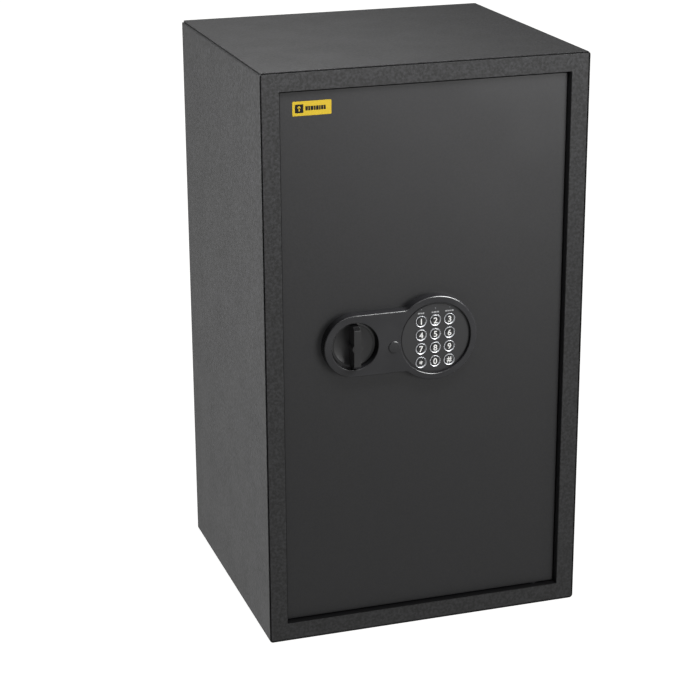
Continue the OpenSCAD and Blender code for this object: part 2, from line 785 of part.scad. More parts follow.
body_shell();
back_panel();
front_frame();
hinge_bushes();
shelf_upper();
shelf_lower();
shelf_rails();
floor_mat();
door_plate();
door_pan();
door_liner();
liner_screws();
hinge_blocks();
hinge_pins();
thrust_washer();
name_label();
lock_housing();
housing_screws();
keypad_face();
key_rings();
status_leds();
keypad_membrane();
keypad_board();
override_lock_body();
override_lock_nut();
spindle_bush();
guide_studs();
solenoid_frame();
solenoid_coil();
plunger_spring();
battery_tray();
batteries();
control_board();
bracket_screws();
wiring();
reset_switch();
knob();
knob_spindle();
drive_cam();
bolt_carriage();
locking_bolts();
solenoid_plunger();
release_link();
override_core();
override_cam();
keyhole_plug();
battery_cover();
reset_button();
for (i = [0:11]) key(i);
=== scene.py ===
"""Finished look of a tall electronic safe, built round its packed mechanical model.

The cabinet, the door, the lock housing, the keypad, the bolt work and the electronics are
classes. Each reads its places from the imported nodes, builds its meshes in metres in the
model's own frame and dresses them in procedural finishes.
"""

from __future__ import annotations

import json
import logging
import math
from dataclasses import dataclass, field
from enum import Enum
from typing import Any, Callable, Iterable, Sequence

import bmesh
import bpy
from mathutils import Matrix, Vector

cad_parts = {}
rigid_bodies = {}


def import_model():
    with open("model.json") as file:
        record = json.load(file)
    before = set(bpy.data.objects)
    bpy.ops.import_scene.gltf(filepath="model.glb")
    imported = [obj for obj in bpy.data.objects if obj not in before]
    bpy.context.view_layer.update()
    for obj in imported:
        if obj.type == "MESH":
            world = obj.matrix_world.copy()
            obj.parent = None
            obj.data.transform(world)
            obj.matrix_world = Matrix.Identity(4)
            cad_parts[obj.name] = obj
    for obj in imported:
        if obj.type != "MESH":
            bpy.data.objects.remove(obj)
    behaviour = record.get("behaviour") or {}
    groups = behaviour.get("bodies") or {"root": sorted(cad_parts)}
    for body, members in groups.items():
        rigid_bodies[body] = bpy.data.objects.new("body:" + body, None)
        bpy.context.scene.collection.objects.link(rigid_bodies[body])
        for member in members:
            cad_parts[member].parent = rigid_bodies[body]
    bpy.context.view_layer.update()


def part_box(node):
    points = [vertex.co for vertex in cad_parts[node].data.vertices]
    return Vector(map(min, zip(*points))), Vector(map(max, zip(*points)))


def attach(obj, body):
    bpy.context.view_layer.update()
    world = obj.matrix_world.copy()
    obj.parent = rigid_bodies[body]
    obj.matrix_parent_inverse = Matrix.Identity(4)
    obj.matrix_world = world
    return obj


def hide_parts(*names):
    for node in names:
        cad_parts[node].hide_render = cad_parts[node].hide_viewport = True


log = logging.getLogger("safe")

MM = 0.001
# Edges sharper than this many degrees stay sharp in a shape's shading.
SHARP = 30.0
KEYPAD = {
    "key_1": "1", "key_2": "2", "key_3": "3",
    "key_4": "4", "key_5": "5", "key_6": "6",
    "key_7": "7", "key_8": "8", "key_9": "9",
    "key_star": "*", "key_0": "0", "key_hash": "#",
}

Point2 = tuple[float, float]
Ring = list[Vector]
# A depth along Y and the outline in X and Z that stands there.
Step = tuple[float, list[Point2]]


class Axis(Enum):
    """Which way a turned or laid-out shape points."""

    X = "x"
    Y = "y"
    Z = "z"

    def place(self, along: float, side: float, up: float) -> Vector:
        """Turns a distance along the axis and two across it into a point."""
        if self is Axis.X:
            return Vector((along, side, up))
        if self is Axis.Y:
            return Vector((side, along, up))
        return Vector((side, up, along))


class Work(Enum):
    """What a tool does to a piece."""

    CUT = "DIFFERENCE"
    ADD = "UNION"


# ---------- nodes and colours ----------


def linear(hex_colour: str) -> tuple[float, float, float, float]:
    """Turns an sRGB hex colour into linear light.

    Args:
        hex_colour: A colour such as "#2b2b2c".

    Returns:
        Red, green, blue and an alpha of one.
    """
    values = []
    for start in (1, 3, 5):
        value = int(hex_colour[start:start + 2], 16) / 255
        values.append(value / 12.92 if value <= 0.04045 else ((value + 0.055) / 1.055) ** 2.4)
    return (values[0], values[1], values[2], 1.0)


def add_node(
    tree: bpy.types.NodeTree,
    kind: str,
    settings: dict[str, Any] | None = None,
    inputs: dict[str | int, Any] | None = None,
) -> bpy.types.Node:
    """Adds a node with its settings, its constant inputs and its links.

    Args:
        tree: The tree that gets the node.
        kind: The node's type name.
        settings: Attributes of the node.
        inputs: Input sockets by name or index, each with a value or an output socket.

    Returns:
        The new node.
    """
    node = tree.nodes.new(kind)
    for name, value in (settings or {}).items():
        setattr(node, name, value)
    for name, value in (inputs or {}).items():
        if isinstance(value, bpy.types.NodeSocket):
            tree.links.new(value, node.inputs[name])
        else:
            node.inputs[name].default_value = value
    return node


# ---------- finishes ----------


@dataclass(frozen=True)
class Finish:
    """A surface: its base values, and a pattern that a kind of finish adds to them."""

    name: str
    colour: str
    roughness: float
    metallic: float = 0.0
    ior: float = 1.5
    specular: float = 0.5
    glow: float = 0.0

    def material(self) -> bpy.types.Material:
        """Makes the finish's material at the first call.

        Returns:
            The material.
        """
        made = bpy.data.materials.get(self.name)
        if made is not None:
            return made
        made = bpy.data.materials.new(self.name)
        made.use_nodes = True
        made.diffuse_color = linear(self.colour)
        tree = made.node_tree
        tree.nodes.clear()
        shader = add_node(
            tree,
            "ShaderNodeBsdfPrincipled",
            inputs={
                "Base Color": linear(self.colour),
                "Roughness": self.roughness,
                "Metallic": self.metallic,
                "IOR": self.ior,
                "Specular IOR Level": self.specular,
                "Emission Color": linear(self.colour),
                "Emission Strength": self.glow,
            },
        )
        add_node(tree, "ShaderNodeOutputMaterial", inputs={"Surface": shader.outputs["BSDF"]})
        self.pattern(tree, shader)
        return made

    def pattern(self, tree: bpy.types.NodeTree, shader: bpy.types.Node) -> None:
        """Adds the kind's own detail. The plain kind has none."""

    @staticmethod
    def place(tree: bpy.types.NodeTree, stretch: Sequence[float] = (1, 1, 1)) -> bpy.types.NodeSocket:
        """Adds the coordinates that a pattern lies on.

        Args:
            tree: The material's tree.
            stretch: A factor for each axis.

        Returns:
            The coordinates, in metres.
        """
        where = add_node(tree, "ShaderNodeTexCoord")
        scaled = add_node(
            tree,
            "ShaderNodeMapping",
            inputs={"Vector": where.outputs["Object"], "Scale": tuple(stretch)},
        )
        return scaled.outputs["Vector"]

    @staticmethod
    def grain(
        tree: bpy.types.NodeTree,
        place: bpy.types.NodeSocket,
        size_mm: float,
        detail: float = 2.0,
    ) -> bpy.types.NodeSocket:
        """Adds noise.

        Args:
            tree: The material's tree.
            place: The coordinates it lies on.
            size_mm: About how wide its lumps are.
            detail: How many finer layers it has.

        Returns:
            The noise, from 0 to 1.
        """
        noise = add_node(
            tree,
            "ShaderNodeTexNoise",
            inputs={"Vector": place, "Scale": 0.5 / (size_mm * MM), "Detail": detail},
        )
        return noise.outputs["Fac"]

    @staticmethod
    def spread(
        tree: bpy.types.NodeTree,
        value: bpy.types.NodeSocket,
        low: float,
        high: float,
        start: float = 0.3,
        end: float = 0.7,
    ) -> bpy.types.NodeSocket:
        """Maps a value to another range.

        Args:
            tree: The tree.
            value: The value.
            low: What start becomes.
            high: What end becomes.
            start: The value's lowest.
            end: The value's highest.

        Returns:
            The mapped value.
        """
        mapped = add_node(
            tree,
            "ShaderNodeMapRange",
            inputs={"Value": value, "From Min": start, "From Max": end, "To Min": low, "To Max": high},
        )
        return mapped.outputs["Result"]

    @staticmethod
    def tones(
        tree: bpy.types.NodeTree, value: bpy.types.NodeSocket, dark: str, light: str
    ) -> bpy.types.NodeSocket:
        """Mixes two colours.

        Args:
            tree: The material's tree.
            value: 0 for dark, 1 for light.
            dark: The dark colour.
            light: The light colour.

        Returns:
            The mixed colour.
        """
        mixed = add_node(
            tree,
            "ShaderNodeMix",
            {"data_type": "RGBA"},
            {0: value, 6: linear(dark), 7: linear(light)},
        )
        return mixed.outputs[2]

    @staticmethod
    def relief(
        tree: bpy.types.NodeTree,
        shader: bpy.types.Node,
        height: bpy.types.NodeSocket,
        depth_mm: float,
        strength: float = 1.0,
    ) -> None:
        """Bumps the shader's normal.

        Args:
            tree: The material's tree.
            shader: The shader.
            height: The height, from 0 to 1.
            depth_mm: What a height of 1 stands for.
            strength: How strongly it is felt.
        """
        bump = add_node(
            tree,
            "ShaderNodeBump",
            inputs={"Height": height, "Distance": depth_mm * MM, "Strength": strength},
        )
        tree.links.new(bump.outputs["Normal"], shader.inputs["Normal"])


@dataclass(frozen=True)
class PowderCoat(Finish):
    """Polyester powder coat, sprayed and baked: sandy grain over a soft orange peel."""

    light: str = "#3a3a3b"
    grain_mm: float = 1.3
    peel_mm: float = 14.0
    depth_mm: float = 0.16

    def pattern(self, tree: bpy.types.NodeTree, shader: bpy.types.Node) -> None:
        """Speckles the colour, varies the gloss and raises the grain.

        Args:
            tree: The material's tree.
            shader: Its shader.
        """
        place = self.place(tree)
        grain = self.grain(tree, place, self.grain_mm, 3.0)
        peel = self.grain(tree, place, self.peel_mm, 1.0)
        speckle = self.spread(tree, grain, 0.0, 1.0, 0.38, 0.66)
        tree.links.new(self.tones(tree, speckle, self.colour, self.light), shader.inputs["Base Color"])
        gloss = self.spread(tree, peel, self.roughness - 0.02, self.roughness + 0.02)
        tree.links.new(gloss, shader.inputs["Roughness"])
        height = add_node(
            tree,
            "ShaderNodeMath",
            {"operation": "MULTIPLY_ADD"},
            {0: peel, 1: 0.1, 2: grain},
        )
        self.relief(tree, shader, height.outputs["Value"], self.depth_mm)


@dataclass(frozen=True)
class Moulded(Finish):
    """Injection-moulded plastic: a fine spark-eroded grain and faint handling marks."""

    light: str = "#1d1d1e"
    grain_mm: float = 0.5
    depth_mm: float = 0.02

    def pattern(self, tree: bpy.types.NodeTree, shader: bpy.types.Node) -> None:
        """Varies tone and gloss a little and adds the mould's grain.

        Args:
            tree: The material's tree.
            shader: Its shader.
        """
        place = self.place(tree)
        grain = self.grain(tree, place, self.grain_mm, 2.0)
        smear = self.grain(tree, place, 22.0, 3.0)
        tone = self.spread(tree, smear, 0.0, 1.0)
        tree.links.new(self.tones(tree, tone, self.colour, self.light), shader.inputs["Base Color"])
        gloss = self.spread(tree, smear, self.roughness - 0.03, self.roughness + 0.06)
        tree.links.new(gloss, shader.inputs["Roughness"])
        self.relief(tree, shader, grain, self.depth_mm)


@dataclass(frozen=True)
class WorkedMetal(Finish):
    """Plated or turned metal: fine lines along one direction and a cloudy tone."""

    light: str = "#cfd2d5"
    stretch: tuple[float, float, float] = (1.0, 12.0, 12.0)
    line_mm: float = 1.6
    depth_mm: float = 0.01

    def pattern(self, tree: bpy.types.NodeTree, shader: bpy.types.Node) -> None:
        """Draws the lines in tone, gloss and height.

        Args:
            tree: The material's tree.
            shader: Its shader.
        """
        lines = self.grain(tree, self.place(tree, self.stretch), self.line_mm, 4.0)
        cloud = self.grain(tree, self.place(tree), 9.0, 2.0)
        tone = self.spread(tree, cloud, 0.0, 1.0)
        tree.links.new(self.tones(tree, tone, self.colour, self.light), shader.inputs["Base Color"])
        gloss = self.spread(tree, lines, self.roughness - 0.08, self.roughness + 0.1)
        tree.links.new(gloss, shader.inputs["Roughness"])
        self.relief(tree, shader, lines, self.depth_mm)


@dataclass(frozen=True)
class NeedledFelt(Finish):
    """Needled polyester felt: matted fibres in two greys with a soft nap."""

    light: str = "#5a5c60"

    def pattern(self, tree: bpy.types.NodeTree, shader: bpy.types.Node) -> None:
        """Mixes the fibres' greys and lifts the nap.

        Args:
            tree: The material's tree.
            shader: Its shader.
        """
        shader.inputs["Sheen Weight"].default_value = 0.35
        place = self.place(tree)
        fibres = self.grain(tree, self.place(tree, (1.0, 3.5, 1.0)), 1.6, 6.0)
        tufts = add_node(
            tree,
            "ShaderNodeTexVoronoi",
            inputs={"Vector": place, "Scale": 1 / (2.4 * MM), "Randomness": 1.0},
        )
        tone = self.spread(tree, fibres, 0.0, 1.0, 0.35, 0.65)
        tree.links.new(self.tones(tree, tone, self.colour, self.light), shader.inputs["Base Color"])
        height = add_node(
            tree, "ShaderNodeMath", {"operation": "ADD"}, {0: fibres, 1: tufts.outputs["Distance"]}
        )
        self.relief(tree, shader, height.outputs["Value"], 0.5)


@dataclass(frozen=True)
class SolderMask(Finish):
    """Green solder mask over copper: tracks show through as lighter lines."""

    light: str = "#2f8a50"

    def pattern(self, tree: bpy.types.NodeTree, shader: bpy.types.Node) -> None:
        """Draws square-cornered tracks and raises them slightly.

        Args:
            tree: The material's tree.
            shader: Its shader.
        """
        shader.inputs["Coat Weight"].default_value = 0.4
        cells = add_node(
            tree,
            "ShaderNodeTexVoronoi",
            {"feature": "DISTANCE_TO_EDGE"},
            {"Vector": self.place(tree), "Scale": 1 / (5.0 * MM), "Randomness": 0.6},
        )
        tracks = self.spread(tree, cells.outputs["Distance"], 1.0, 0.0, 0.04, 0.09)
        tree.links.new(self.tones(tree, tracks, self.colour, self.light), shader.inputs["Base Color"])
        self.relief(tree, shader, tracks, 0.04)


@dataclass(frozen=True)
class WoundWire(Finish):
    """Enamelled copper wire, wound in close turns up the bobbin."""

    light: str = "#b4622f"
    pitch_mm: float = 0.6

    def pattern(self, tree: bpy.types.NodeTree, shader: bpy.types.Node) -> None:
        """Draws one band for each turn.

        Args:
            tree: The material's tree.
            shader: Its shader.
        """
        turns = add_node(
            tree,
            "ShaderNodeTexWave",
            {"wave_type": "BANDS", "bands_direction": "Z"},
            {"Vector": self.place(tree), "Scale": math.pi / 10 / (self.pitch_mm * MM), "Distortion": 0.4},
        )
        band = turns.outputs["Fac"]
        tree.links.new(self.tones(tree, band, self.colour, self.light), shader.inputs["Base Color"])
        self.relief(tree, shader, band, 0.15)


@dataclass(frozen=True)
class CellWrap(Finish):
    """Shrink sleeve of a dry cell: a dark body and a copper-coloured band at one end."""

    band: str = "#b8843c"
    edge_m: float = 0.07

    def pattern(self, tree: bpy.types.NodeTree, shader: bpy.types.Node) -> None:
        """Colours the band beyond the edge and adds the sleeve's fine creases.

        Args:
            tree: The material's tree.
            shader: Its shader.
        """
        where = add_node(tree, "ShaderNodeTexCoord")
        along = add_node(tree, "ShaderNodeSeparateXYZ", inputs={0: where.outputs["Object"]})
        past = add_node(
            tree,
            "ShaderNodeMath",
            {"operation": "GREATER_THAN"},
            {0: along.outputs["X"], 1: self.edge_m},
        )
        colour = self.tones(tree, past.outputs["Value"], self.colour, self.band)
        tree.links.new(colour, shader.inputs["Base Color"])
        creases = self.grain(tree, self.place(tree, (0.3, 2.0, 2.0)), 3.0, 3.0)
        self.relief(tree, shader, creases, 0.05)


class Paint:
    """Every finish on the safe."""

    # Textured polyester powder coat: black, dull, with a sandy grain that catches light.
    COAT = PowderCoat(
        "powder_coat_textured", "#1d1d1d", 0.6, light="#2a2a2b", specular=0.15,
        grain_mm=1.6, peel_mm=26.0, depth_mm=0.3,
    )
    # The same powder on the door's flat plate: finer and a little glossier.
    DOOR = PowderCoat(
        "powder_coat_satin", "#181819", 0.42, light="#1c1c1d", specular=0.2,
        grain_mm=0.9, peel_mm=34.0, depth_mm=0.02,
    )
    # Moulded ABS with a polished tool: black with a clear, slightly soft gloss.
    HOUSING = Moulded(
        "abs_gloss_black", "#0a0a0b", 0.22, light="#0d0d0e", specular=0.2, grain_mm=0.4, depth_mm=0.004
    )
    # The knob is ABS from a fine-grained tool, so its gloss is wider.
    KNOB = Moulded(
        "abs_satin_black", "#0d0d0e", 0.3, light="#111112", specular=0.3, grain_mm=0.4, depth_mm=0.008
    )
    # Grained ABS plate: dark grey and matt.
    KEYPAD = Moulded(
        "abs_matt_grey", "#1c1c1d", 0.55, light="#212122", specular=0.25, grain_mm=0.7, depth_mm=0.05
    )
    # Moulded keys: near black and matt.
    KEY = Moulded(
        "abs_key_black", "#0b0b0c", 0.4, light="#0e0e0f", specular=0.3, grain_mm=0.3, depth_mm=0.005
    )
    # Silver lacquer: metal flake in a satin binder, so a lit slope glows over a wide arc.
    FOIL = WorkedMetal("silver_lacquer", "#646567", 0.42, metallic=0.5, light="#6e6f71")
    # White screen-printed ink: matt and opaque.
    WHITE_INK = Moulded("ink_white", "#bcbcba", 0.5, light="#c6c6c4", grain_mm=0.3, depth_mm=0.004)
    # Grey screen-printed ink.
    GREY_INK = Moulded("ink_grey", "#757677", 0.5, light="#808182", grain_mm=0.3, depth_mm=0.004)
    # Black screen-printed ink.
    BLACK_INK = Moulded(
        "ink_black", "#060607", 0.5, light="#09090a", specular=0.1, grain_mm=0.3, depth_mm=0.004
    )
    # Yellow vinyl film: bright, with a sleek surface.
    LABEL = Moulded(
        "vinyl_yellow", "#8e780b", 0.4, light="#947e0e", specular=0.2, grain_mm=0.8, depth_mm=0.006
    )
    # Milky polycarbonate lens over a lamp.
    LENS = Moulded("polycarbonate_milky", "#3c3d3f", 0.25, light="#454648", ior=1.585, specular=0.3)
    # Black-oxide steel: dark, with a dull oily shine.
    OXIDE = WorkedMetal("black_oxide_steel", "#1d1d1f", 0.42, metallic=1.0, light="#29292b")
    # Moulded black nylon.
    NYLON_BLACK = Moulded("nylon_black", "#151516", 0.5, light="#1b1b1c", ior=1.53)
    # Zinc-plated pressed steel: pale, cloudy and dull.
    ZINC = WorkedMetal("zinc_plated_steel", "#a9adb1", 0.38, metallic=1.0, light="#c4c7ca")
    # Nickel-plated turned steel: bright, with turning lines.
    NICKEL = WorkedMetal("nickel_plated_steel", "#c9cacb", 0.2, metallic=1.0, light="#e2e2e1")
    # Turned brass.
    BRASS = WorkedMetal("turned_brass", "#c4a45a", 0.28, metallic=1.0, light="#d8bd78")
    # Turned nylon: off-white and waxy.
    NYLON = Moulded("nylon_white", "#dedbd2", 0.45, light="#e8e5dd", ior=1.53)
    # Moulded ABS inside the door: black and matt.
    TRAY = Moulded("abs_matt_black", "#19191a", 0.5, light="#202021", depth_mm=0.03)
    # Moulded red button.
    RED = Moulded("abs_red", "#a8231b", 0.3, light="#b52c22", depth_mm=0.006)
    # Silicone switch mat: translucent grey, dull.
    SILICONE = Moulded("silicone_grey", "#6f7276", 0.6, light="#7c7f83", ior=1.41)
    # PVC wire insulation: red, smooth and slightly oily.
    PVC = Moulded("pvc_red", "#8f1c1a", 0.4, light="#a22421", depth_mm=0.004)
    # Needled felt mat.
    FELT = NeedledFelt("needled_felt_grey", "#33353a", 0.95)
    # Circuit board.
    BOARD = SolderMask("solder_mask_green", "#1c6137", 0.35)
    # Solenoid winding.
    COPPER = WoundWire("enamelled_copper_wire", "#6d2d14", 0.35)
    # Dry cells.
    CELL = CellWrap("cell_sleeve", "#17181a", 0.3)
    # Floor: pale matt paper.
    PAPER = Moulded(
        "studio_paper", "#f4f4f3", 0.9, light="#f8f8f7", specular=0.1, glow=1.1, grain_mm=8.0, depth_mm=0.0
    )


# ---------- outlines, in millimetres ----------


def arc(centre: Point2, radius: float, start: float, end: float, steps: int) -> list[Point2]:
    """Points along an arc.

    Args:
        centre: The arc's centre.
        radius: Its radius.
        start: The first angle, in degrees.
        end: The last angle, in degrees.
        steps: How many stretches the arc has.

    Returns:
        The points, both ends included.
    """
    angles = (math.radians(start + (end - start) * step / steps) for step in range(steps + 1))
    return [(centre[0] + radius * math.cos(a), centre[1] + radius * math.sin(a)) for a in angles]


def rounded_rectangle(
    low: Point2, high: Point2, inset: float, radius: float, steps: int = 6
) -> list[Point2]:
    """A rectangle with round corners, drawn in by inset.

    Args:
        low: The lowest corner before the inset.
        high: The highest corner before the inset.
        inset: How far each side is drawn in.
        radius: The corners' radius after the inset.
        steps: Stretches in each corner.

    Returns:
        The points, anticlockwise from the right side.
    """
    x0, z0 = low[0] + inset + radius, low[1] + inset + radius
    x1, z1 = high[0] - inset - radius, high[1] - inset - radius
    corners = ((x1, z0, -90), (x1, z1, 0), (x0, z1, 90), (x0, z0, 180))
    return [p for x, z, turn in corners for p in arc((x, z), radius, turn, turn + 90, steps)]


# ---------- meshes ----------


def mesh_of(name: str, made: bmesh.types.BMesh) -> bpy.types.Mesh:
    """Turns a bmesh into a mesh with outward faces, smooth but for its sharp edges.

    Args:
        name: The mesh's name.
        made: The bmesh, which is freed.

    Returns:
        The mesh.
    """
    bmesh.ops.recalc_face_normals(made, faces=made.faces)
    mesh = bpy.data.meshes.new(name)
    made.to_mesh(mesh)
    made.free()
    shade(mesh, SHARP)
    return mesh


def shade(mesh: bpy.types.Mesh, smooth: float) -> None:
    """Smooths a mesh's shading.

    Args:
        mesh: The mesh.
        smooth: Edges sharper than this many degrees stay sharp.
    """
    mesh.polygons.foreach_set("use_smooth", [True] * len(mesh.polygons))
    mesh.set_sharp_from_angle(angle=math.radians(smooth))
    mesh.update()


def loft(name: str, rings: Sequence[Ring], closed: bool = False) -> bpy.types.Mesh:
    """Skins rings of equal length, one after the other.

    Args:
        name: The mesh's name.
        rings: The rings, each a list of points in millimetres.
        closed: Joins the last ring to the first. Otherwise both ends get a cap.

    Returns:
        The mesh, in metres.
    """
    made = bmesh.new()
    rows = [[made.verts.new(point * MM) for point in ring] for ring in rings]
    pairs = list(zip(rows, rows[1:]))
    if closed:
        pairs.append((rows[-1], rows[0]))
    for one, two in pairs:
        for i, vertex in enumerate(one):
            j = (i + 1) % len(one)
            made.faces.new((vertex, one[j], two[j], two[i]))
    if not closed:
        made.faces.new(rows[0])
        made.faces.new(rows[-1])
    return mesh_of(name, made)


def plate(name: str, steps: Iterable[Step], closed: bool = False) -> bpy.types.Mesh:
    """Skins outlines that stand at depths along Y."""
    rings = [[Vector((x, y, z)) for x, z in outline] for y, outline in steps]
    return loft(name, rings, closed)


def turned(
    name: str,
    profile: Sequence[Point2],
    centre: Sequence[float] = (0, 0, 0),
    axis: Axis = Axis.Y,
    steps: int = 64,
) -> bpy.types.Mesh:
    """Turns a profile round an axis.

    Args:
        name: The mesh's name.
        profile: Radius and distance along the axis, in millimetres. A radius of zero makes a pole.
            A profile without poles is closed into a ring.
        centre: A point on the axis, in millimetres.
        axis: The way the axis points.
        steps: How many stretches a full turn has.

    Returns:
        The mesh, in metres.
    """
    made = bmesh.new()
    origin = Vector(centre)
    rows = []
    for radius, along in profile:
        count = 1 if radius == 0 else steps
        row = []
        for step in range(count):
            angle = 2 * math.pi * step / steps
            point = axis.place(along, radius * math.cos(angle), radius * math.sin(angle))
            row.append(made.verts.new((origin + point) * MM))
        rows.append(row)
    pairs = list(zip(rows, rows[1:]))
    if len(rows[0]) > 1 and len(rows[-1]) > 1:
        pairs.append((rows[-1], rows[0]))
    for one, two in pairs:
        for i in range(steps):
            j = (i + 1) % steps
            corners = [one[i % len(one)], one[j % len(one)], two[j % len(two)], two[i % len(two)]]
            face = list(dict.fromkeys(corners))
            if len(face) > 2:
                made.faces.new(face)
    return mesh_of(name, made)


def object_of(name: str, mesh: bpy.types.Mesh, finish: Finish | None = None) -> bpy.types.Object:
    """Makes an object at the origin, in the scene.

    Args:
        name: The object's name, which the mesh gets too.
        mesh: Its mesh.
        finish: Its finish, or None to keep what the mesh has.

    Returns:
        The object.
    """
    mesh.name = name
    piece = bpy.data.objects.new(name, mesh)
    bpy.context.scene.collection.objects.link(piece)
    if finish is not None:
        mesh.materials.clear()
        mesh.materials.append(finish.material())
    return piece


def settle(piece: bpy.types.Object, smooth: float = SHARP) -> bpy.types.Object:
    """Turns what a piece's modifiers give into its plain mesh.

    Args:
        piece: The piece, whose modifiers are removed.
        smooth: Edges sharper than this many degrees stay sharp.

    Returns:
        The same piece.
    """
    bpy.context.view_layer.update()
    graph = bpy.context.evaluated_depsgraph_get()
    mesh = bpy.data.meshes.new_from_object(
        piece.evaluated_get(graph), preserve_all_data_layers=True, depsgraph=graph
    )
    piece.modifiers.clear()
    old, piece.data = piece.data, mesh
    mesh.name = piece.name
    bpy.data.meshes.remove(old)
    shade(mesh, smooth)
    return piece


def carve(piece: bpy.types.Object, tools: Sequence[bpy.types.Mesh], work: Work = Work.CUT) -> None:
    """Cuts tools out of a piece, or adds them to it.

    Args:
        piece: The piece.
        tools: Closed meshes, which are used up.
        work: Whether they are cut out or added.
    """
    made = []
    for number, tool in enumerate(tools):
        helper = object_of(f"tool_{number}", tool)
        step = piece.modifiers.new(f"step_{number}", "BOOLEAN")
        step.operation = work.value
        step.solver = "EXACT"
        step.object = helper
        made.append(helper)
    settle(piece)
    for helper in made:
        mesh = helper.data
        bpy.data.objects.remove(helper)
        bpy.data.meshes.remove(mesh)


def joined(name: str, meshes: Sequence[bpy.types.Mesh]) -> bpy.types.Mesh:
    """Puts several meshes into one.

    Args:
        name: The new mesh's name.
        meshes: The meshes, which are used up.

    Returns:
        The new mesh.
    """
    made = bmesh.new()
    for mesh in meshes:
        made.from_mesh(mesh)
        bpy.data.meshes.remove(mesh)
    return mesh_of(name, made)


def edged(name: str, node: str, finish: Finish, width: float, body: str, slot: str) -> bpy.types.Object:
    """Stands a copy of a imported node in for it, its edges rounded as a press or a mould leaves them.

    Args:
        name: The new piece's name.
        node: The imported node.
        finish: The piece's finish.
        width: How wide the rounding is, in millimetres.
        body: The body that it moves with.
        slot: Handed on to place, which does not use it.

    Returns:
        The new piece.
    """
    made = bmesh.new()
    made.from_mesh(bpy.data.objects[node].data)
    bmesh.ops.remove_doubles(made, verts=made.verts, dist=1e-6)
    bmesh.ops.dissolve_limit(made, angle_limit=math.radians(0.5), verts=made.verts, edges=made.edges)
    mesh = bpy.data.meshes.new(name)
    made.to_mesh(mesh)
    made.free()
    piece = object_of(name, mesh, finish)
    edge = piece.modifiers.new("edge", "BEVEL")
    edge.width = width * MM
    edge.segments = 2
    edge.limit_method = "ANGLE"
    edge.angle_limit = math.radians(40)
    return place(settle(piece), body, slot, [node])


def place(
    piece: bpy.types.Object, body: str, slot: str, replaced: Sequence[str] = ()
) -> bpy.types.Object:
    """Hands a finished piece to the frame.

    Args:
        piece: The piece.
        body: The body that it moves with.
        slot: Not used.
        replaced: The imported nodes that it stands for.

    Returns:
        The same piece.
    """
    even = piece.modifiers.new("flat_faces_stay_flat", "WEIGHTED_NORMAL")
    even.keep_sharp = True
    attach(piece, body)
    if replaced:
        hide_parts(*replaced)
    log.info("%s rides on %s, %d faces", piece.name, body, len(piece.data.polygons))
    return piece


def box_mm(node: str) -> tuple[Vector, Vector]:
    """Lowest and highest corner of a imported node, in millimetres."""
    low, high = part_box(node)
    return low / MM, high / MM


def middle_mm(node: str) -> Vector:
    """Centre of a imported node's box, in millimetres."""
    low, high = box_mm(node)
    return (low + high) / 2


# ---------- geometry trees ----------


def geometry_tree(
    name: str, sizes: Sequence[tuple[str, str, Any]]
) -> tuple[bpy.types.NodeTree, bpy.types.Node, bpy.types.Node]:
    """Starts a geometry tree with named inputs.

    Args:
        name: The tree's name.
        sizes: Each input's name, socket type and default.

    Returns:
        The tree, its input node and its output node.
    """
    tree = bpy.data.node_groups.new(name, "GeometryNodeTree")
    tree.interface.new_socket("Geometry", in_out="INPUT", socket_type="NodeSocketGeometry")
    for label, kind, default in sizes:
        socket = tree.interface.new_socket(label, in_out="INPUT", socket_type=kind)
        if default is not None:
            socket.default_value = default
    tree.interface.new_socket("Geometry", in_out="OUTPUT", socket_type="NodeSocketGeometry")
    return tree, add_node(tree, "NodeGroupInput"), add_node(tree, "NodeGroupOutput")


def grow(
    name: str,
    tree: bpy.types.NodeTree,
    values: dict[str, Any],
    points: Sequence[Vector] = (),
) -> bpy.types.Object:
    """Runs a geometry tree and keeps its result as a plain mesh.

    Args:
        name: The piece's name.
        tree: The geometry tree.
        values: Values for its inputs, by the inputs' names.
        points: Points that the tree starts from, in millimetres.

    Returns:
        The piece.
    """
    seed = bpy.data.meshes.new(name)
    seed.from_pydata([point * MM for point in points], [], [])
    piece = object_of(name, seed)
    step = piece.modifiers.new("grow", "NODES")
    step.node_group = tree
    sockets = {
        item.name: item.identifier
        for item in tree.interface.items_tree
        if item.item_type == "SOCKET" and item.in_out == "INPUT"
    }
    for label, value in values.items():
        step[sockets[label]] = value
    return settle(piece, 40.0)


def finish_tree(
    tree: bpy.types.NodeTree,
    result: bpy.types.NodeSocket,
    material: bpy.types.NodeSocket,
    end: bpy.types.Node,
) -> None:
    """Ends a tree: makes instances real and sets their material.

    Args:
        tree: The tree.
        result: The geometry so far.
        material: The material.
        end: The tree's output node.
    """
    real = add_node(tree, "GeometryNodeRealizeInstances", inputs={"Geometry": result})
    dressed = add_node(
        tree,
        "GeometryNodeSetMaterial",
        inputs={"Geometry": real.outputs["Geometry"], "Material": material},
    )
    tree.links.new(dressed.outputs["Geometry"], end.inputs["Geometry"])


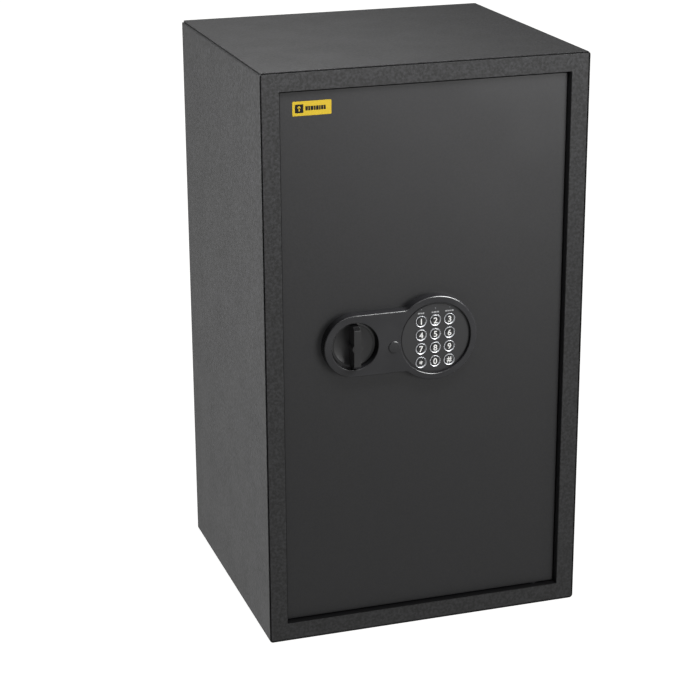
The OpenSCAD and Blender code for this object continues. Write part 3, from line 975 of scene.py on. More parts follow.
def repeat_tree() -> bpy.types.NodeTree:
    """A tree that sets a shape on each point, turned at random about the Y axis.

    Returns:
        The tree.
    """
    made = bpy.data.node_groups.get("repeat_on_points")
    if made is not None:
        return made
    tree, start, end = geometry_tree(
        "repeat_on_points",
        [
            ("Shape", "NodeSocketObject", None),
            ("Turn", "NodeSocketFloat", 0.0),
            ("Seed", "NodeSocketInt", 7),
            ("Material", "NodeSocketMaterial", None),
        ],
    )
    points = add_node(tree, "GeometryNodeMeshToPoints", inputs={"Mesh": start.outputs["Geometry"]})
    shape = add_node(tree, "GeometryNodeObjectInfo", inputs={"Object": start.outputs["Shape"]})
    angle = add_node(
        tree,
        "FunctionNodeRandomValue",
        {"data_type": "FLOAT"},
        {2: 0.0, 3: start.outputs["Turn"], "Seed": start.outputs["Seed"]},
    )
    turn = add_node(tree, "ShaderNodeCombineXYZ", inputs={"Y": angle.outputs[1]})
    copies = add_node(
        tree,
        "GeometryNodeInstanceOnPoints",
        inputs={
            "Points": points.outputs["Points"],
            "Instance": shape.outputs["Geometry"],
            "Rotation": turn.outputs["Vector"],
        },
    )
    finish_tree(tree, copies.outputs["Instances"], start.outputs["Material"], end)
    return tree


def repeated(
    name: str,
    shape: bpy.types.Mesh,
    points: Sequence[Vector],
    finish: Finish,
    turn: float = 0.0,
    seed: int = 7,
) -> bpy.types.Object:
    """Sets a shape on points.

    Args:
        name: The piece's name.
        shape: The shape, about the origin. It is used up.
        points: Where the copies go, in millimetres.
        finish: Their finish.
        turn: The most that a copy is turned, in radians.
        seed: Fixes the turns.

    Returns:
        The piece.
    """
    helper = object_of(f"{name}_shape", shape, finish)
    values = {"Shape": helper, "Turn": turn, "Seed": seed, "Material": finish.material()}
    piece = grow(name, repeat_tree(), values, points)
    bpy.data.objects.remove(helper)
    bpy.data.meshes.remove(shape)
    return piece


def coil_tree() -> bpy.types.NodeTree:
    """A tree that winds a wire into a coil up the Z axis.

    Returns:
        The tree.
    """
    tree, start, end = geometry_tree(
        "wound_coil",
        [
            ("Turns", "NodeSocketFloat", 8.0),
            ("Height", "NodeSocketFloat", 0.01),
            ("Radius", "NodeSocketFloat", 0.003),
            ("Wire Radius", "NodeSocketFloat", 0.0003),
            ("Centre", "NodeSocketVector", None),
            ("Material", "NodeSocketMaterial", None),
        ],
    )
    path = add_node(
        tree,
        "GeometryNodeCurveSpiral",
        inputs={
            "Resolution": 24,
            "Rotations": start.outputs["Turns"],
            "Start Radius": start.outputs["Radius"],
            "End Radius": start.outputs["Radius"],
            "Height": start.outputs["Height"],
        },
    )
    wire = add_node(
        tree,
        "GeometryNodeCurvePrimitiveCircle",
        inputs={"Resolution": 8, "Radius": start.outputs["Wire Radius"]},
    )
    skin = add_node(
        tree,
        "GeometryNodeCurveToMesh",
        inputs={
            "Curve": path.outputs["Curve"],
            "Profile Curve": wire.outputs["Curve"],
            "Fill Caps": True,
        },
    )
    moved = add_node(
        tree,
        "GeometryNodeTransform",
        inputs={"Geometry": skin.outputs["Mesh"], "Translation": start.outputs["Centre"]},
    )
    finish_tree(tree, moved.outputs["Geometry"], start.outputs["Material"], end)
    return tree


def rib_tree() -> bpy.types.NodeTree:
    """A tree that lays half-sunk round ribs side by side up the Z axis.

    Returns:
        The tree.
    """
    tree, start, end = geometry_tree(
        "rib_row",
        [
            ("Count", "NodeSocketInt", 5),
            ("Pitch", "NodeSocketVector", None),
            ("First", "NodeSocketVector", None),
            ("Length", "NodeSocketFloat", 0.02),
            ("Radius", "NodeSocketFloat", 0.0006),
            ("Material", "NodeSocketMaterial", None),
        ],
    )
    row = add_node(
        tree,
        "GeometryNodeMeshLine",
        {"mode": "OFFSET"},
        {
            "Count": start.outputs["Count"],
            "Start Location": start.outputs["First"],
            "Offset": start.outputs["Pitch"],
        },
    )
    half = add_node(
        tree, "ShaderNodeMath", {"operation": "MULTIPLY"}, {0: start.outputs["Length"], 1: 0.5}
    )
    minus = add_node(
        tree, "ShaderNodeMath", {"operation": "MULTIPLY"}, {0: start.outputs["Length"], 1: -0.5}
    )
    left = add_node(tree, "ShaderNodeCombineXYZ", inputs={"X": minus.outputs["Value"]})
    right = add_node(tree, "ShaderNodeCombineXYZ", inputs={"X": half.outputs["Value"]})
    line = add_node(
        tree,
        "GeometryNodeCurvePrimitiveLine",
        inputs={"Start": left.outputs["Vector"], "End": right.outputs["Vector"]},
    )
    section = add_node(
        tree,
        "GeometryNodeCurvePrimitiveCircle",
        inputs={"Resolution": 16, "Radius": start.outputs["Radius"]},
    )
    rib = add_node(
        tree,
        "GeometryNodeCurveToMesh",
        inputs={
            "Curve": line.outputs["Curve"],
            "Profile Curve": section.outputs["Curve"],
            "Fill Caps": True,
        },
    )
    copies = add_node(
        tree,
        "GeometryNodeInstanceOnPoints",
        inputs={"Points": row.outputs["Mesh"], "Instance": rib.outputs["Mesh"]},
    )
    finish_tree(tree, copies.outputs["Instances"], start.outputs["Material"], end)
    return tree


# ---------- shapes that several sub-assemblies use ----------


def screw_shape(
    head_radius: float, head_height: float, shank_radius: float, length: float
) -> bpy.types.Mesh:
    """A pan-head screw with a cross recess, its head's underside at the origin.

    Args:
        head_radius: Radius of the head.
        head_height: Height of the head, towards +Y.
        shank_radius: Radius of the shank.
        length: Length of the shank, towards -Y.

    Returns:
        The mesh, in metres.
    """
    round_r = head_height * 0.7
    rim = arc((head_radius - round_r, head_height - round_r), round_r, 0, 90, 5)
    profile = [(0, -length), (shank_radius * 0.6, -length), (shank_radius, -length + 1),
               (shank_radius, 0), (head_radius, 0), *rim, (0, head_height)]
    screw = object_of("screw", turned("screw", profile, steps=24))
    wing = head_radius * 0.62
    slots = []
    for across, up in ((wing, head_radius * 0.13), (head_radius * 0.13, wing)):
        outline = rounded_rectangle((-across, -up), (across, up), 0, head_radius * 0.05, 1)
        slots.append(plate("slot", [(head_height * 0.35, outline), (head_height + 1, outline)]))
    carve(screw, slots)
    mesh = screw.data.copy()
    bpy.data.objects.remove(screw)
    return mesh


def print_of(text: str, height: float, bold: float) -> bpy.types.Mesh:
    """A printed sign, centred on the origin and facing -Y.

    Args:
        text: The sign.
        height: Its height, in millimetres.
        bold: How far its strokes are widened, in millimetres.

    Returns:
        The mesh, in metres, 0.08 mm thick.
    """
    curve = bpy.data.curves.new("sign", "FONT")
    curve.body = text
    curve.size = height * MM
    curve.offset = bold * MM
    curve.extrude = 0.04 * MM
    curve.resolution_u = 4
    writer = bpy.data.objects.new("sign", curve)
    bpy.context.scene.collection.objects.link(writer)
    bpy.context.view_layer.update()
    mesh = bpy.data.meshes.new_from_object(writer.evaluated_get(bpy.context.evaluated_depsgraph_get()))
    bpy.data.objects.remove(writer)
    bpy.data.curves.remove(curve)
    xs = [v.co.x for v in mesh.vertices]
    ys = [v.co.y for v in mesh.vertices]
    centre = Vector(((min(xs) + max(xs)) / 2, (min(ys) + max(ys)) / 2, 0))
    scale = height * MM / max(max(ys) - min(ys), max(xs) - min(xs), 1e-9)
    mesh.transform(
        Matrix.Rotation(math.radians(90), 4, "X")
        @ Matrix.Diagonal((scale, scale, 1, 1))
        @ Matrix.Translation(-centre)
    )
    made = bmesh.new()
    made.from_mesh(mesh)
    bpy.data.meshes.remove(mesh)
    bmesh.ops.remove_doubles(made, verts=made.verts, dist=1e-7)
    return mesh_of("sign", made)


def moved(mesh: bpy.types.Mesh, offset: Sequence[float]) -> bpy.types.Mesh:
    """Moves a mesh by an offset in millimetres and returns it."""
    mesh.transform(Matrix.Translation(Vector(offset) * MM))
    return mesh


def drill(
    spot: Vector, radius: float, low: float, high: float, axis: Axis = Axis.Y, steps: int = 40
) -> bpy.types.Mesh:
    """A round cutter through a spot.

    Args:
        spot: A point on its axis, of which only the two measures across the axis count.
        radius: Its radius.
        low: Where it starts along the axis.
        high: Where it ends.
        axis: The way the axis points.
        steps: How many stretches a full turn has.

    Returns:
        The mesh, in metres.
    """
    across = spot.copy()
    setattr(across, axis.value, 0)
    return turned("drill", [(0, low), (radius, low), (radius, high), (0, high)], across, axis, steps)


def eased(
    front: float, radius: float, outline: Callable[[float], list[Point2]], steps: int, first: int = 1
) -> list[Step]:
    """Rounds the front edge of a plate, from its side to its face.

    Args:
        front: The depth of the face.
        radius: Radius of the rounding.
        outline: Gives the plate's outline, drawn in by a distance.
        steps: How many stretches the rounding has.
        first: The first step, 0 at the side or 1 past it.

    Returns:
        The steps for a plate.
    """
    turns = [math.pi / 2 * step / steps for step in range(first, steps + 1)]
    return [(front + radius * (1 - math.sin(a)), outline(radius * (1 - math.cos(a)))) for a in turns]


def tablet(
    name: str,
    low: Sequence[float],
    high: Sequence[float],
    corner: float,
    edge: float,
) -> bpy.types.Mesh:
    """A flat piece facing -Y with round corners and a rounded front edge.

    Args:
        name: The mesh's name.
        low: Its lowest corner.
        high: Its highest corner.
        corner: Radius of its corners.
        edge: Radius of its front edge.

    Returns:
        The mesh, in metres.
    """
    def outline(inset: float) -> list[Point2]:
        """The piece's outline, drawn in by inset."""
        round_r = max(corner - inset, 0.02)
        return rounded_rectangle((low[0], low[2]), (high[0], high[2]), inset, round_r, 4)

    return plate(name, [(high[1], outline(0)), *eased(low[1], edge, outline, 3, 0)])


# ---------- the cabinet ----------


@dataclass
class Cabinet:
    """The folded cabinet with its door frame, shelves, rails, hinge bushes and mat."""

    corner: float = 4.5
    fold: float = 1.2
    sheet: float = 2.0
    lip: float = 0.7
    seam: float = 1.3
    seam_depth: float = 4.0
    anchor_r: float = 6.0
    anchor_pitch: float = 200.0
    bend: float = 0.9
    face_edge: float = 0.8
    door_gap: float = 2.0
    mat_corner: float = 6.0
    low: Vector = field(init=False)
    high: Vector = field(init=False)

    def __post_init__(self) -> None:
        """Reads the cabinet's box."""
        self.low = box_mm("body_shell")[0]
        self.high = box_mm("body_shell")[1]

    @property
    def front(self) -> float:
        """The plane of the door frame's face."""
        return box_mm("front_frame")[0].y

    def outline(self, inset: float) -> list[Point2]:
        """The cabinet's outline in X and Z, notched at the top's bends.

        Args:
            inset: How far each side is drawn in.

        Returns:
            The points.
        """
        points = rounded_rectangle(
            (self.low.x, self.low.z), (self.high.x, self.high.z), inset,
            max(self.corner - inset, 0.8), 8,
        )
        if inset < self.lip:
            for index, side in ((13, -1), (22, 1)):
                x, z = points[index]
                points[index] = (x + side * self.fold, z - self.fold)
        return points

    def build(self) -> None:
        """Builds every piece of the cabinet."""
        self.shell()
        self.back()
        self.frame()
        self.fittings()
        self.mat()

    def shell(self) -> None:
        """The wrapped sheet, with the seam round its front edge and two anchor holes."""
        front, back = self.front, self.high.y
        inner = self.lip + self.seam
        steps = [
            (back, self.outline(0.6)), (back - 0.25, self.outline(0.18)), (back - 0.7, self.outline(0)),
            (front + 1.1, self.outline(0)), (front + 0.5, self.outline(0.12)),
            (front + 0.3, self.outline(0.35)), (front + 0.4, self.outline(self.lip)),
            (front + self.seam_depth, self.outline(self.lip)),
            (front + self.seam_depth, self.outline(inner)),
            (back, self.outline(inner)),
        ]
        piece = object_of("cabinet_shell", plate("cabinet_shell", steps, closed=True), Paint.COAT)
        carve(piece, self.anchor_drills(self.anchor_r, self.sheet / 2, 3, 40))
        place(piece, "cabinet", "coat_textured", ["body_shell"])

    def back(self) -> None:
        """The rear sheet, let in and welded round its edge."""
        edged("rear_sheet", "back_panel", Paint.COAT, 0.5, "cabinet", "coat_textured")

    def frame(self) -> None:
        """The border round the door, folded back into the reveal."""
        low, high = box_mm("front_frame")
        front, rear = low.y, high.y
        plate_back = front + self.sheet
        inner = self.lip + self.seam
        wing = front + self.seam_depth + 2
        steps = [
            (wing, self.outline(inner)),
            *eased(front, self.face_edge, lambda inset: self.outline(inner + inset), 3, 0),
            *reversed(eased(front, self.bend, self.opening, 3, 0)),
            (rear, self.opening(0)), (rear, self.opening(self.sheet)),
            (plate_back, self.opening(self.sheet)), (plate_back, self.outline(inner + 1.5)),
            (wing, self.outline(inner + 1.5)),
        ]
        piece = object_of("door_frame", plate("door_frame", steps, closed=True), Paint.COAT)
        # Painted shade: the reveal's inner faces take the darker satin door coat, which stands in for the
        # shade inside the recess.
        piece.data.materials.append(Paint.DOOR.material())
        for face in piece.data.polygons:
            if face.center.y > (front + 1) * MM and abs(face.normal.y) < 0.5:
                face.material_index = 1
        place(piece, "cabinet", "coat_textured", ["front_frame"])

    def opening(self, wider: float) -> list[Point2]:
        """The frame's opening in X and Z.

        Args:
            wider: How far it lies outside the opening's own edge.

        Returns:
            The points.
        """
        low, high = box_mm("door_plate")
        reach = self.door_gap + wider
        corner = 0.6 + wider
        return rounded_rectangle((low.x - reach, low.z - reach), (high.x + reach, high.z + reach), 0,
                                 corner, 8)

    def anchor_drills(self, radius: float, height: float, reach: float, steps: int) -> list[bpy.types.Mesh]:
        """Cutters for the two anchor holes in the floor.

        Args:
            radius: Their radius.
            height: The middle of the sheet that they cut.
            reach: How far they go above and below the middle.
            steps: How many stretches a full turn has.

        Returns:
            The cutters.
        """
        spots = [Vector((side * self.anchor_pitch / 2, 0, 0)) for side in (-1, 1)]
        return [drill(spot, radius, height - reach, height + reach, Axis.Z, steps) for spot in spots]

    def fittings(self) -> None:
        """The shelves, their rails, the hinge bushes and the washer."""
        for node in ("shelf_upper", "shelf_lower", "shelf_rails"):
            edged(f"{node}_sheet", node, Paint.COAT, 0.3, "cabinet", "coat_inside")
        edged("hinge_bush_pair", "hinge_bushes", Paint.OXIDE, 0.25, "cabinet", "zinc_steel")
        edged("hinge_washer", "thrust_washer", Paint.NYLON_BLACK, 0.1, "cabinet", "nylon_white")

    def mat(self) -> None:
        """The felt mat on the floor, with a cut edge and a faint wave."""
        low, high = box_mm("floor_mat")
        made = bmesh.new()
        columns, rows = 60, 50
        grid = []
        for i in range(columns + 1):
            line = []
            for j in range(rows + 1):
                x, y = self.mat_spot(low, high, i / columns * 2 - 1, j / rows * 2 - 1)
                wave = 0.25 * math.sin(x / 47) * math.cos(y / 39) + 0.12 * math.sin(x / 13 + y / 17)
                line.append(made.verts.new(Vector((x, y, high.z - 0.5 + wave)) * MM))
            grid.append(line)
        for i in range(columns):
            for j in range(rows):
                made.faces.new((grid[i][j], grid[i + 1][j], grid[i + 1][j + 1], grid[i][j + 1]))
        piece = object_of("felt_mat", mesh_of("felt_mat", made), Paint.FELT)
        wall = piece.modifiers.new("thickness", "SOLIDIFY")
        wall.thickness = 2.2 * MM
        wall.offset = -1
        edge = piece.modifiers.new("edge", "BEVEL")
        edge.width = 0.5 * MM
        edge.segments = 2
        edge.limit_method = "ANGLE"
        settle(piece)
        hole_r = self.anchor_r + 3
        carve(piece, self.anchor_drills(hole_r, high.z, 6, 32))
        place(piece, "cabinet", "mat_felt", ["floor_mat"])

    def mat_spot(self, low: Vector, high: Vector, across: float, along: float) -> Point2:
        """A spot on the mat, whose corners are round.

        Args:
            low: The mat's lowest corner.
            high: Its highest corner.
            across: The spot's place across the mat, from -1 to 1.
            along: Its place along the mat, from -1 to 1.

        Returns:
            The spot in X and Y.
        """
        half, corner = (high - low) / 2, self.mat_corner
        px, py = across * half.x, along * half.y
        over_x = max(abs(px) - (half.x - corner), 0)
        over_y = max(abs(py) - (half.y - corner), 0)
        reach = math.hypot(over_x, over_y)
        if over_x and over_y and reach > corner:
            px -= math.copysign(over_x * (1 - corner / reach), px)
            py -= math.copysign(over_y * (1 - corner / reach), py)
        return px + (low.x + high.x) / 2, py + (low.y + high.y) / 2


# ---------- the door ----------


@dataclass
class Door:
    """The door's plate, pan, liner, hinge parts and label."""

    edge: float = 0.8
    bar_gap: float = 0.5
    bar_widths: tuple[float, ...] = (2.9, 2.2, 3.3, 2.2, 2.9, 1.9, 2.7, 2.3)

    def build(self) -> None:
        """Builds every piece of the door itself."""
        self.panel()
        self.pan()
        self.hinges()
        self.screws()
        self.label()

    def panel(self) -> None:
        """The flat plate with rounded edges and its drilled holes."""
        low, high = box_mm("door_plate")
        piece = object_of("door_panel", tablet("door_panel", low, high, 0.9, self.edge), Paint.DOOR)
        holes = (("knob_spindle", 6.0), ("override_lock_body", 8.1), ("keypad_board", 8.0))
        carve(piece, [drill(middle_mm(node), r, low.y - 3, high.y + 3) for node, r in holes])
        place(piece, "door", "coat_satin", ["door_plate"])

    def pan(self) -> None:
        """The folded box behind the plate, and the liner that closes it."""
        edged("door_box", "door_pan", Paint.COAT, 0.4, "door", "coat_inside")
        edged("door_lining", "door_liner", Paint.COAT, 0.35, "door", "coat_inside")

    def hinges(self) -> None:
        """The welded blocks and the pins."""
        edged("hinge_block_pair", "hinge_blocks", Paint.OXIDE, 0.6, "door", "zinc_steel")
        edged("hinge_pin_pair", "hinge_pins", Paint.OXIDE, 0.5, "door", "zinc_steel")

    def screws(self) -> None:
        """The pan-head screws that hold the liner."""
        low, high = box_mm("liner_screws")
        face = box_mm("door_liner")[1].y
        xs = (low.x + 4, (low.x + high.x) / 2, high.x - 4)
        points = [Vector((x, face, z)) for x in xs for z in (low.z + 4, high.z - 4)]
        piece = repeated("liner_screw_set", screw_shape(4, high.y - face, 1.9, 7), points,
                         Paint.ZINC, math.pi, 11)
        place(piece, "door", "zinc_steel", ["liner_screws"])

    def label(self) -> None:
        """A yellow label with a keyhole sign and a row of plain bars."""
        low, high = box_mm("name_label")
        film = object_of("label_film", tablet("label_film", low, high, 1.2, 0.1), Paint.LABEL)
        place(film, "door", "label_film", ["name_label"])
        height = high.z - low.z
        front = low.y
        sign_low = Vector((low.x + 3, front - 0.06, low.z + height * 0.2))
        side = height * 0.6
        sign_high = sign_low + Vector((side, 0.12, side))
        sign = object_of("label_sign", tablet("label_sign", sign_low, sign_high, 0.6, 0.03),
                         Paint.BLACK_INK)
        place(sign, "door", "label_film")
        centre = (sign_low + sign_high) / 2
        key_r = side * 0.17
        bow_spot = Vector((centre.x, 0, centre.z + side * 0.12))
        bow = drill(bow_spot, key_r, front - 0.1, front - 0.03, steps=24)
        stem_low = Vector((centre.x - side * 0.07, front - 0.1, centre.z - side * 0.3))
        stem_high = Vector((centre.x + side * 0.07, front - 0.03, centre.z + side * 0.1))
        stem = tablet("stem", stem_low, stem_high, 0.2, 0.02)
        mark = object_of("label_keyhole", joined("label_keyhole", [bow, stem]), Paint.LABEL)
        place(mark, "door", "label_film")
        bars = []
        x = sign_high.x + 2.4
        z0, z1 = low.z + height * 0.35, low.z + height * 0.65
        for width in self.bar_widths:
            bars.append(tablet("bar", (x, front - 0.06, z0), (x + width, front + 0.05, z1), 0.3, 0.03))
            x += width + self.bar_gap
        row = object_of("label_bars", joined("label_bars", bars), Paint.BLACK_INK)
        place(row, "door", "label_film")


# ---------- the lock's front ----------


@dataclass
class LockFront:
    """The moulded housing with its wells, the knob and the keyhole's cap."""

    knob_lobe_r: float = 38.0
    pad_lobe_r: float = 52.0
    blend_r: float = 7.0
    edge: float = 1.4
    lip: float = 1.0
    knob_well_r: float = 28.8
    pad_well_r: float = 44.0
    bore_r: float = 6.0
    plug_r: float = 5.5
    rim_back: float = 3.1
    dish_back: float = 1.4
    grip_half: float = 4.4
    slant_depth: float = 6.0
    slant_run: float = 3.7
    hub_r: float = 6.3
    low: Vector = field(init=False)
    high: Vector = field(init=False)
    knob: Vector = field(init=False)
    pad: Vector = field(init=False)
    plug: Vector = field(init=False)

    def __post_init__(self) -> None:
        """Reads the housing's box and the three centres."""
        self.low, self.high = box_mm("lock_housing")
        self.knob = middle_mm("knob")
        self.pad = middle_mm("keypad_face")
        self.plug = middle_mm("keyhole_plug")

    def build(self) -> None:
        """Builds the housing, the knob and the cap."""
        self.housing()
        self.turn_knob()
        self.cap()

    def outline(self, inset: float) -> list[Point2]:
        """The housing's outline, two round lobes and a band.

        Args:
            inset: How far it is drawn in.

        Returns:
            The points.
        """
        reach = self.pad_lobe_r + self.blend_r
        rise = self.knob_lobe_r + self.blend_r
        lean = math.degrees(math.asin(rise / reach))
        z = self.knob.z
        blend_x = self.pad.x - reach * math.cos(math.radians(lean))
        blend = self.blend_r + inset
        return [
            *arc((self.knob.x, z), self.knob_lobe_r - inset, 90, 270, 48),
            *arc((blend_x, z - rise), blend, 90, lean, 8),
            *arc((self.pad.x, z), self.pad_lobe_r - inset, 180 + lean, 540 - lean, 80),
            *arc((blend_x, z + rise), blend, -lean, -90, 8),
        ]

    def mouth(self, radius: float, floor: float) -> list[Point2]:
        """Profile of a well with a rounded lip, from in front of the housing to its floor.

        Args:
            radius: Radius of the well.
            floor: Depth of its floor.

        Returns:
            The profile.
        """
        front = self.low.y
        centre = (radius + self.lip, front + self.lip)
        lip = arc(centre, self.lip, 270, 180, 5)
        return [(0, front - 2), (radius + self.lip, front - 2), *lip, (radius, floor), (0, floor)]

    def housing(self) -> None:
        """The housing, rounded at the front and sunk for the knob, the keypad and the cap."""
        steps = [(self.high.y, self.outline(0)), *eased(self.low.y, self.edge, self.outline, 5, 0)]
        piece = object_of("lock_cover", plate("lock_cover", steps), Paint.HOUSING)
        knob_floor = box_mm("knob")[1].y + 0.4
        face_back = box_mm("keypad_face")[1].y
        knob_spot, pad_spot = (self.knob.x, 0, self.knob.z), (self.pad.x, 0, self.pad.z)
        carve(piece, [
            turned("well", self.mouth(self.knob_well_r, knob_floor), knob_spot, steps=96),
            drill(self.knob, self.bore_r, self.low.y - 3, self.high.y + 3, steps=48),
            turned("well", self.mouth(self.pad_well_r, face_back + 0.05), pad_spot, steps=128),
            drill(self.plug, self.plug_r, self.low.y - 2, self.high.y + 3, steps=48),
        ])
        place(piece, "door", "housing_abs", ["lock_housing"])

    def turn_knob(self) -> None:
        """The dished knob with its straight grip and the hub at its middle."""
        low, high = box_mm("knob")
        radius = (high.x - low.x) / 2
        rim = high.y - self.rim_back
        dish = high.y - self.dish_back
        profile = [
            (0, high.y), (radius - 0.5, high.y), (radius, high.y - 0.5), (radius, rim + 0.6),
            *arc((radius - 0.6, rim + 0.6), 0.6, 0, -90, 4), (radius - 2.4, rim), (radius - 3, rim + 0.5),
            *[(radius - 3 - t * 12, rim + 0.5 + (dish - rim - 0.5) * math.sin(math.radians(90 * t)))
              for t in (0.2, 0.4, 0.6, 0.8, 1.0)],
            (0, dish),
        ]
        disc = turned("turn_knob", profile, (self.knob.x, 0, self.knob.z), steps=96)
        piece = object_of("turn_knob", disc, Paint.KNOB)
        carve(piece, [self.grip(low, high, radius), self.hub(low, high)], Work.ADD)
        place(piece, "knob", "housing_abs", ["knob"])

    def grip(self, low: Vector, high: Vector, radius: float) -> bpy.types.Mesh:
        """The straight bar across the knob, its ends cut at a slant and its edges rounded.

        Args:
            low: The knob's lowest corner.
            high: Its highest corner.
            radius: Its radius.

        Returns:
            The mesh, in metres.
        """
        half_w, half_l = self.grip_half, radius - 1.3
        bevel_y, end = low.y + self.slant_depth, half_l - self.slant_run
        z = self.knob.z
        back = high.y - 0.8
        made = bmesh.new()
        side = [(back, -half_l), (bevel_y, -half_l), (low.y, -end), (low.y, end), (bevel_y, half_l),
                (back, half_l)]
        rows = [
            [made.verts.new(Vector((self.knob.x + x, y, z + up)) * MM) for y, up in side]
            for x in (-half_w, half_w)
        ]
        for i in range(len(side)):
            j = (i + 1) % len(side)
            made.faces.new((rows[0][i], rows[0][j], rows[1][j], rows[1][i]))
        made.faces.new(rows[0])
        made.faces.new(rows[1])
        bmesh.ops.recalc_face_normals(made, faces=made.faces)
        bmesh.ops.bevel(made, geom=made.edges[:], offset=0.55 * MM, segments=3, affect="EDGES", profile=0.5)
        return mesh_of("grip", made)

    def hub(self, low: Vector, high: Vector) -> bpy.types.Mesh:
        """The round hub at the middle of the bar.

        Args:
            low: The knob's lowest corner.
            high: Its highest corner.

        Returns:
            The mesh, in metres.
        """
        r = self.hub_r
        rim = arc((r - 0.7, low.y + 0.75), 0.7, 0, -90, 4)
        profile = [(0, high.y - 0.8), (r, high.y - 0.8), *rim, (0, low.y + 0.05)]
        return turned("hub", profile, (self.knob.x, 0, self.knob.z), steps=48)

    def cap(self) -> None:
        """The push-in cap over the emergency keyhole, slightly domed."""
        low, high = box_mm("keyhole_plug")
        r = (high.x - low.x) / 2
        front = self.low.y
        stub = r - 1.8
        rim = arc((r - 0.8, low.y + 0.9), 0.8, 0, -80, 5)
        dome = [(radius, low.y + 0.02 * radius) for radius in (4.5, 2.5)]
        profile = [(0, high.y), (stub - 0.3, high.y), (stub, high.y - 0.3), (stub, front),
                   (r, front), *rim, *dome, (0, low.y)]
        piece = object_of("keyhole_cap", turned("keyhole_cap", profile, (self.plug.x, 0, self.plug.z)),
                          Paint.HOUSING)
        place(piece, "keyhole_plug", "housing_abs", ["keyhole_plug"])


# ---------- the keypad ----------


@dataclass
class Keypad:
    """The round keypad: its plate, rings, keys with signs, lamps and printed bars."""

    face_r: float = 42.2
    key_hole: float = 5.5
    lamp_r: float = 1.2
    ring_width: float = 1.3
    ring_rise: float = 0.95
    dash_gap: float = 0.5
    dish: float = 0.1
    sign_height: float = 7.4
    star_height: float = 4.8
    front: float = field(init=False)
    back: float = field(init=False)
    centre: Vector = field(init=False)

    def __post_init__(self) -> None:
        """Reads the plate's planes and centre."""
        low, high = box_mm("keypad_face")
        self.front, self.back = low.y, high.y
        self.centre = (low + high) / 2

    def build(self) -> None:
        """Builds every piece of the keypad that shows."""
        self.plate()
        self.rings()
        self.lamps()
        self.bars()
        for node, sign in KEYPAD.items():
            self.key(node, sign)

    def lamp_spots(self) -> list[Vector]:
        """Reads the three lamps' centres.

        Returns:
            The centres, from the left.
        """
        low, high = box_mm("status_leds")
        z = (low.z + high.z) / 2
        return [Vector((x, 0, z)) for x in
                (low.x + self.lamp_r, (low.x + high.x) / 2, high.x - self.lamp_r)]

    def plate(self) -> None:
        """The grained plate, stepped down at its rim and bored for the keys and lamps."""
        outer = (box_mm("keypad_face")[1].x - box_mm("keypad_face")[0].x) / 2
        step = self.front + 0.9
        profile = [(0, self.back), (outer, self.back), (outer, step), (self.face_r, step),
                   *arc((self.face_r - 0.6, self.front + 0.6), 0.6, 0, -90, 4), (0, self.front)]
        spot = (self.centre.x, 0, self.centre.z)
        piece = object_of("keypad_plate", turned("keypad_plate", profile, spot, steps=128),
                          Paint.KEYPAD)
        holes = [(middle_mm(node), self.key_hole) for node in KEYPAD]
        holes += [(at, self.lamp_r) for at in self.lamp_spots()]
        drills = [drill(at, r, self.front - 2, self.back + 2) for at, r in holes]
        carve(piece, [joined("drills", drills)])
        place(piece, "door", "keypad_plastic", ["keypad_face"])

    def rings(self) -> None:
        """The silver rings, dished towards the keys so that their lower halves catch the light."""
        inner, outer, rise = self.key_hole, self.key_hole + self.ring_width, self.ring_rise
        profile = [(inner, 0.2), (outer, 0.2), (outer, -rise + 0.25),
                   *arc((outer - 0.22, -rise + 0.22), 0.22, 0, -100, 4),
                   (inner + 0.35, -0.28), (inner, -0.1)]
        points = [Vector((middle_mm(n).x, self.front, middle_mm(n).z)) for n in KEYPAD]
        piece = repeated("key_ring_set", turned("ring", profile, steps=48), points, Paint.FOIL)
        place(piece, "door", "ring_silver", ["key_rings"])

    def lamps(self) -> None:
        """Three small domed lenses."""
        r = self.lamp_r - 0.05
        dome = [(r * math.cos(math.radians(a)), -0.45 * math.sin(math.radians(a))) for a in (0, 30, 60)]
        profile = [(0, self.back - self.front), (r, self.back - self.front), *dome, (0, -0.45)]
        points = [Vector((s.x, self.front, s.z)) for s in self.lamp_spots()]
        piece = repeated("lamp_set", turned("lamp", profile, steps=24), points, Paint.LENS)
        place(piece, "door", "led_lens", ["status_leds"])

    def bars(self) -> None:
        """Short printed dashes between the lamps and the first row of keys."""
        ring_top = middle_mm("key_1").z + self.key_hole + self.ring_width
        z = (ring_top + self.lamp_spots()[0].z - self.lamp_r) / 2
        dashes = []
        for spot, widths in zip(
            self.lamp_spots(), ((2.6, 1.8, 2.6), (2.0, 3.4, 2.8), (3.0, 2.2, 1.6, 2.4))
        ):
            x = spot.x - (sum(widths) + self.dash_gap * (len(widths) - 1)) / 2
            for width in widths:
                low = (x, self.front - 0.05, z - 0.85)
                high = (x + width, self.front + 0.1, z + 0.85)
                dashes.append(tablet("dash", low, high, 0.3, 0.03))
                x += width + self.dash_gap
        piece = object_of("printed_dashes", joined("printed_dashes", dashes), Paint.GREY_INK)
        place(piece, "door", "keypad_plastic")

    def key(self, node: str, sign: str) -> None:
        """One key with a dished top and its white sign.

        Args:
            node: The key's node, which is also its body's name.
            sign: The sign on it.
        """
        low, high = box_mm(node)
        spot = middle_mm(node)
        r = self.key_hole - 0.3
        rim = arc((r - 0.6, low.y + 0.6), 0.6, 0, -90, 4)
        flange = self.back + 0.5
        floor = low.y + self.dish
        profile = [(0, high.y), (r - 2, high.y), (r - 2, flange + 1), (r + 1, flange + 1),
                   (r + 1, flange), (r, flange), *rim, (r - 1, floor), (0, floor)]
        cap = object_of(f"{node}_cap", turned(node, profile, (spot.x, 0, spot.z), steps=48), Paint.KEY)
        place(cap, node, "key_plastic", [node])
        height = self.star_height if sign == "*" else self.sign_height
        ink = moved(print_of(sign, height, 0.1), (spot.x, floor - 0.02, spot.z))
        place(object_of(f"{node}_sign", ink, Paint.WHITE_INK), node, "key_plastic")


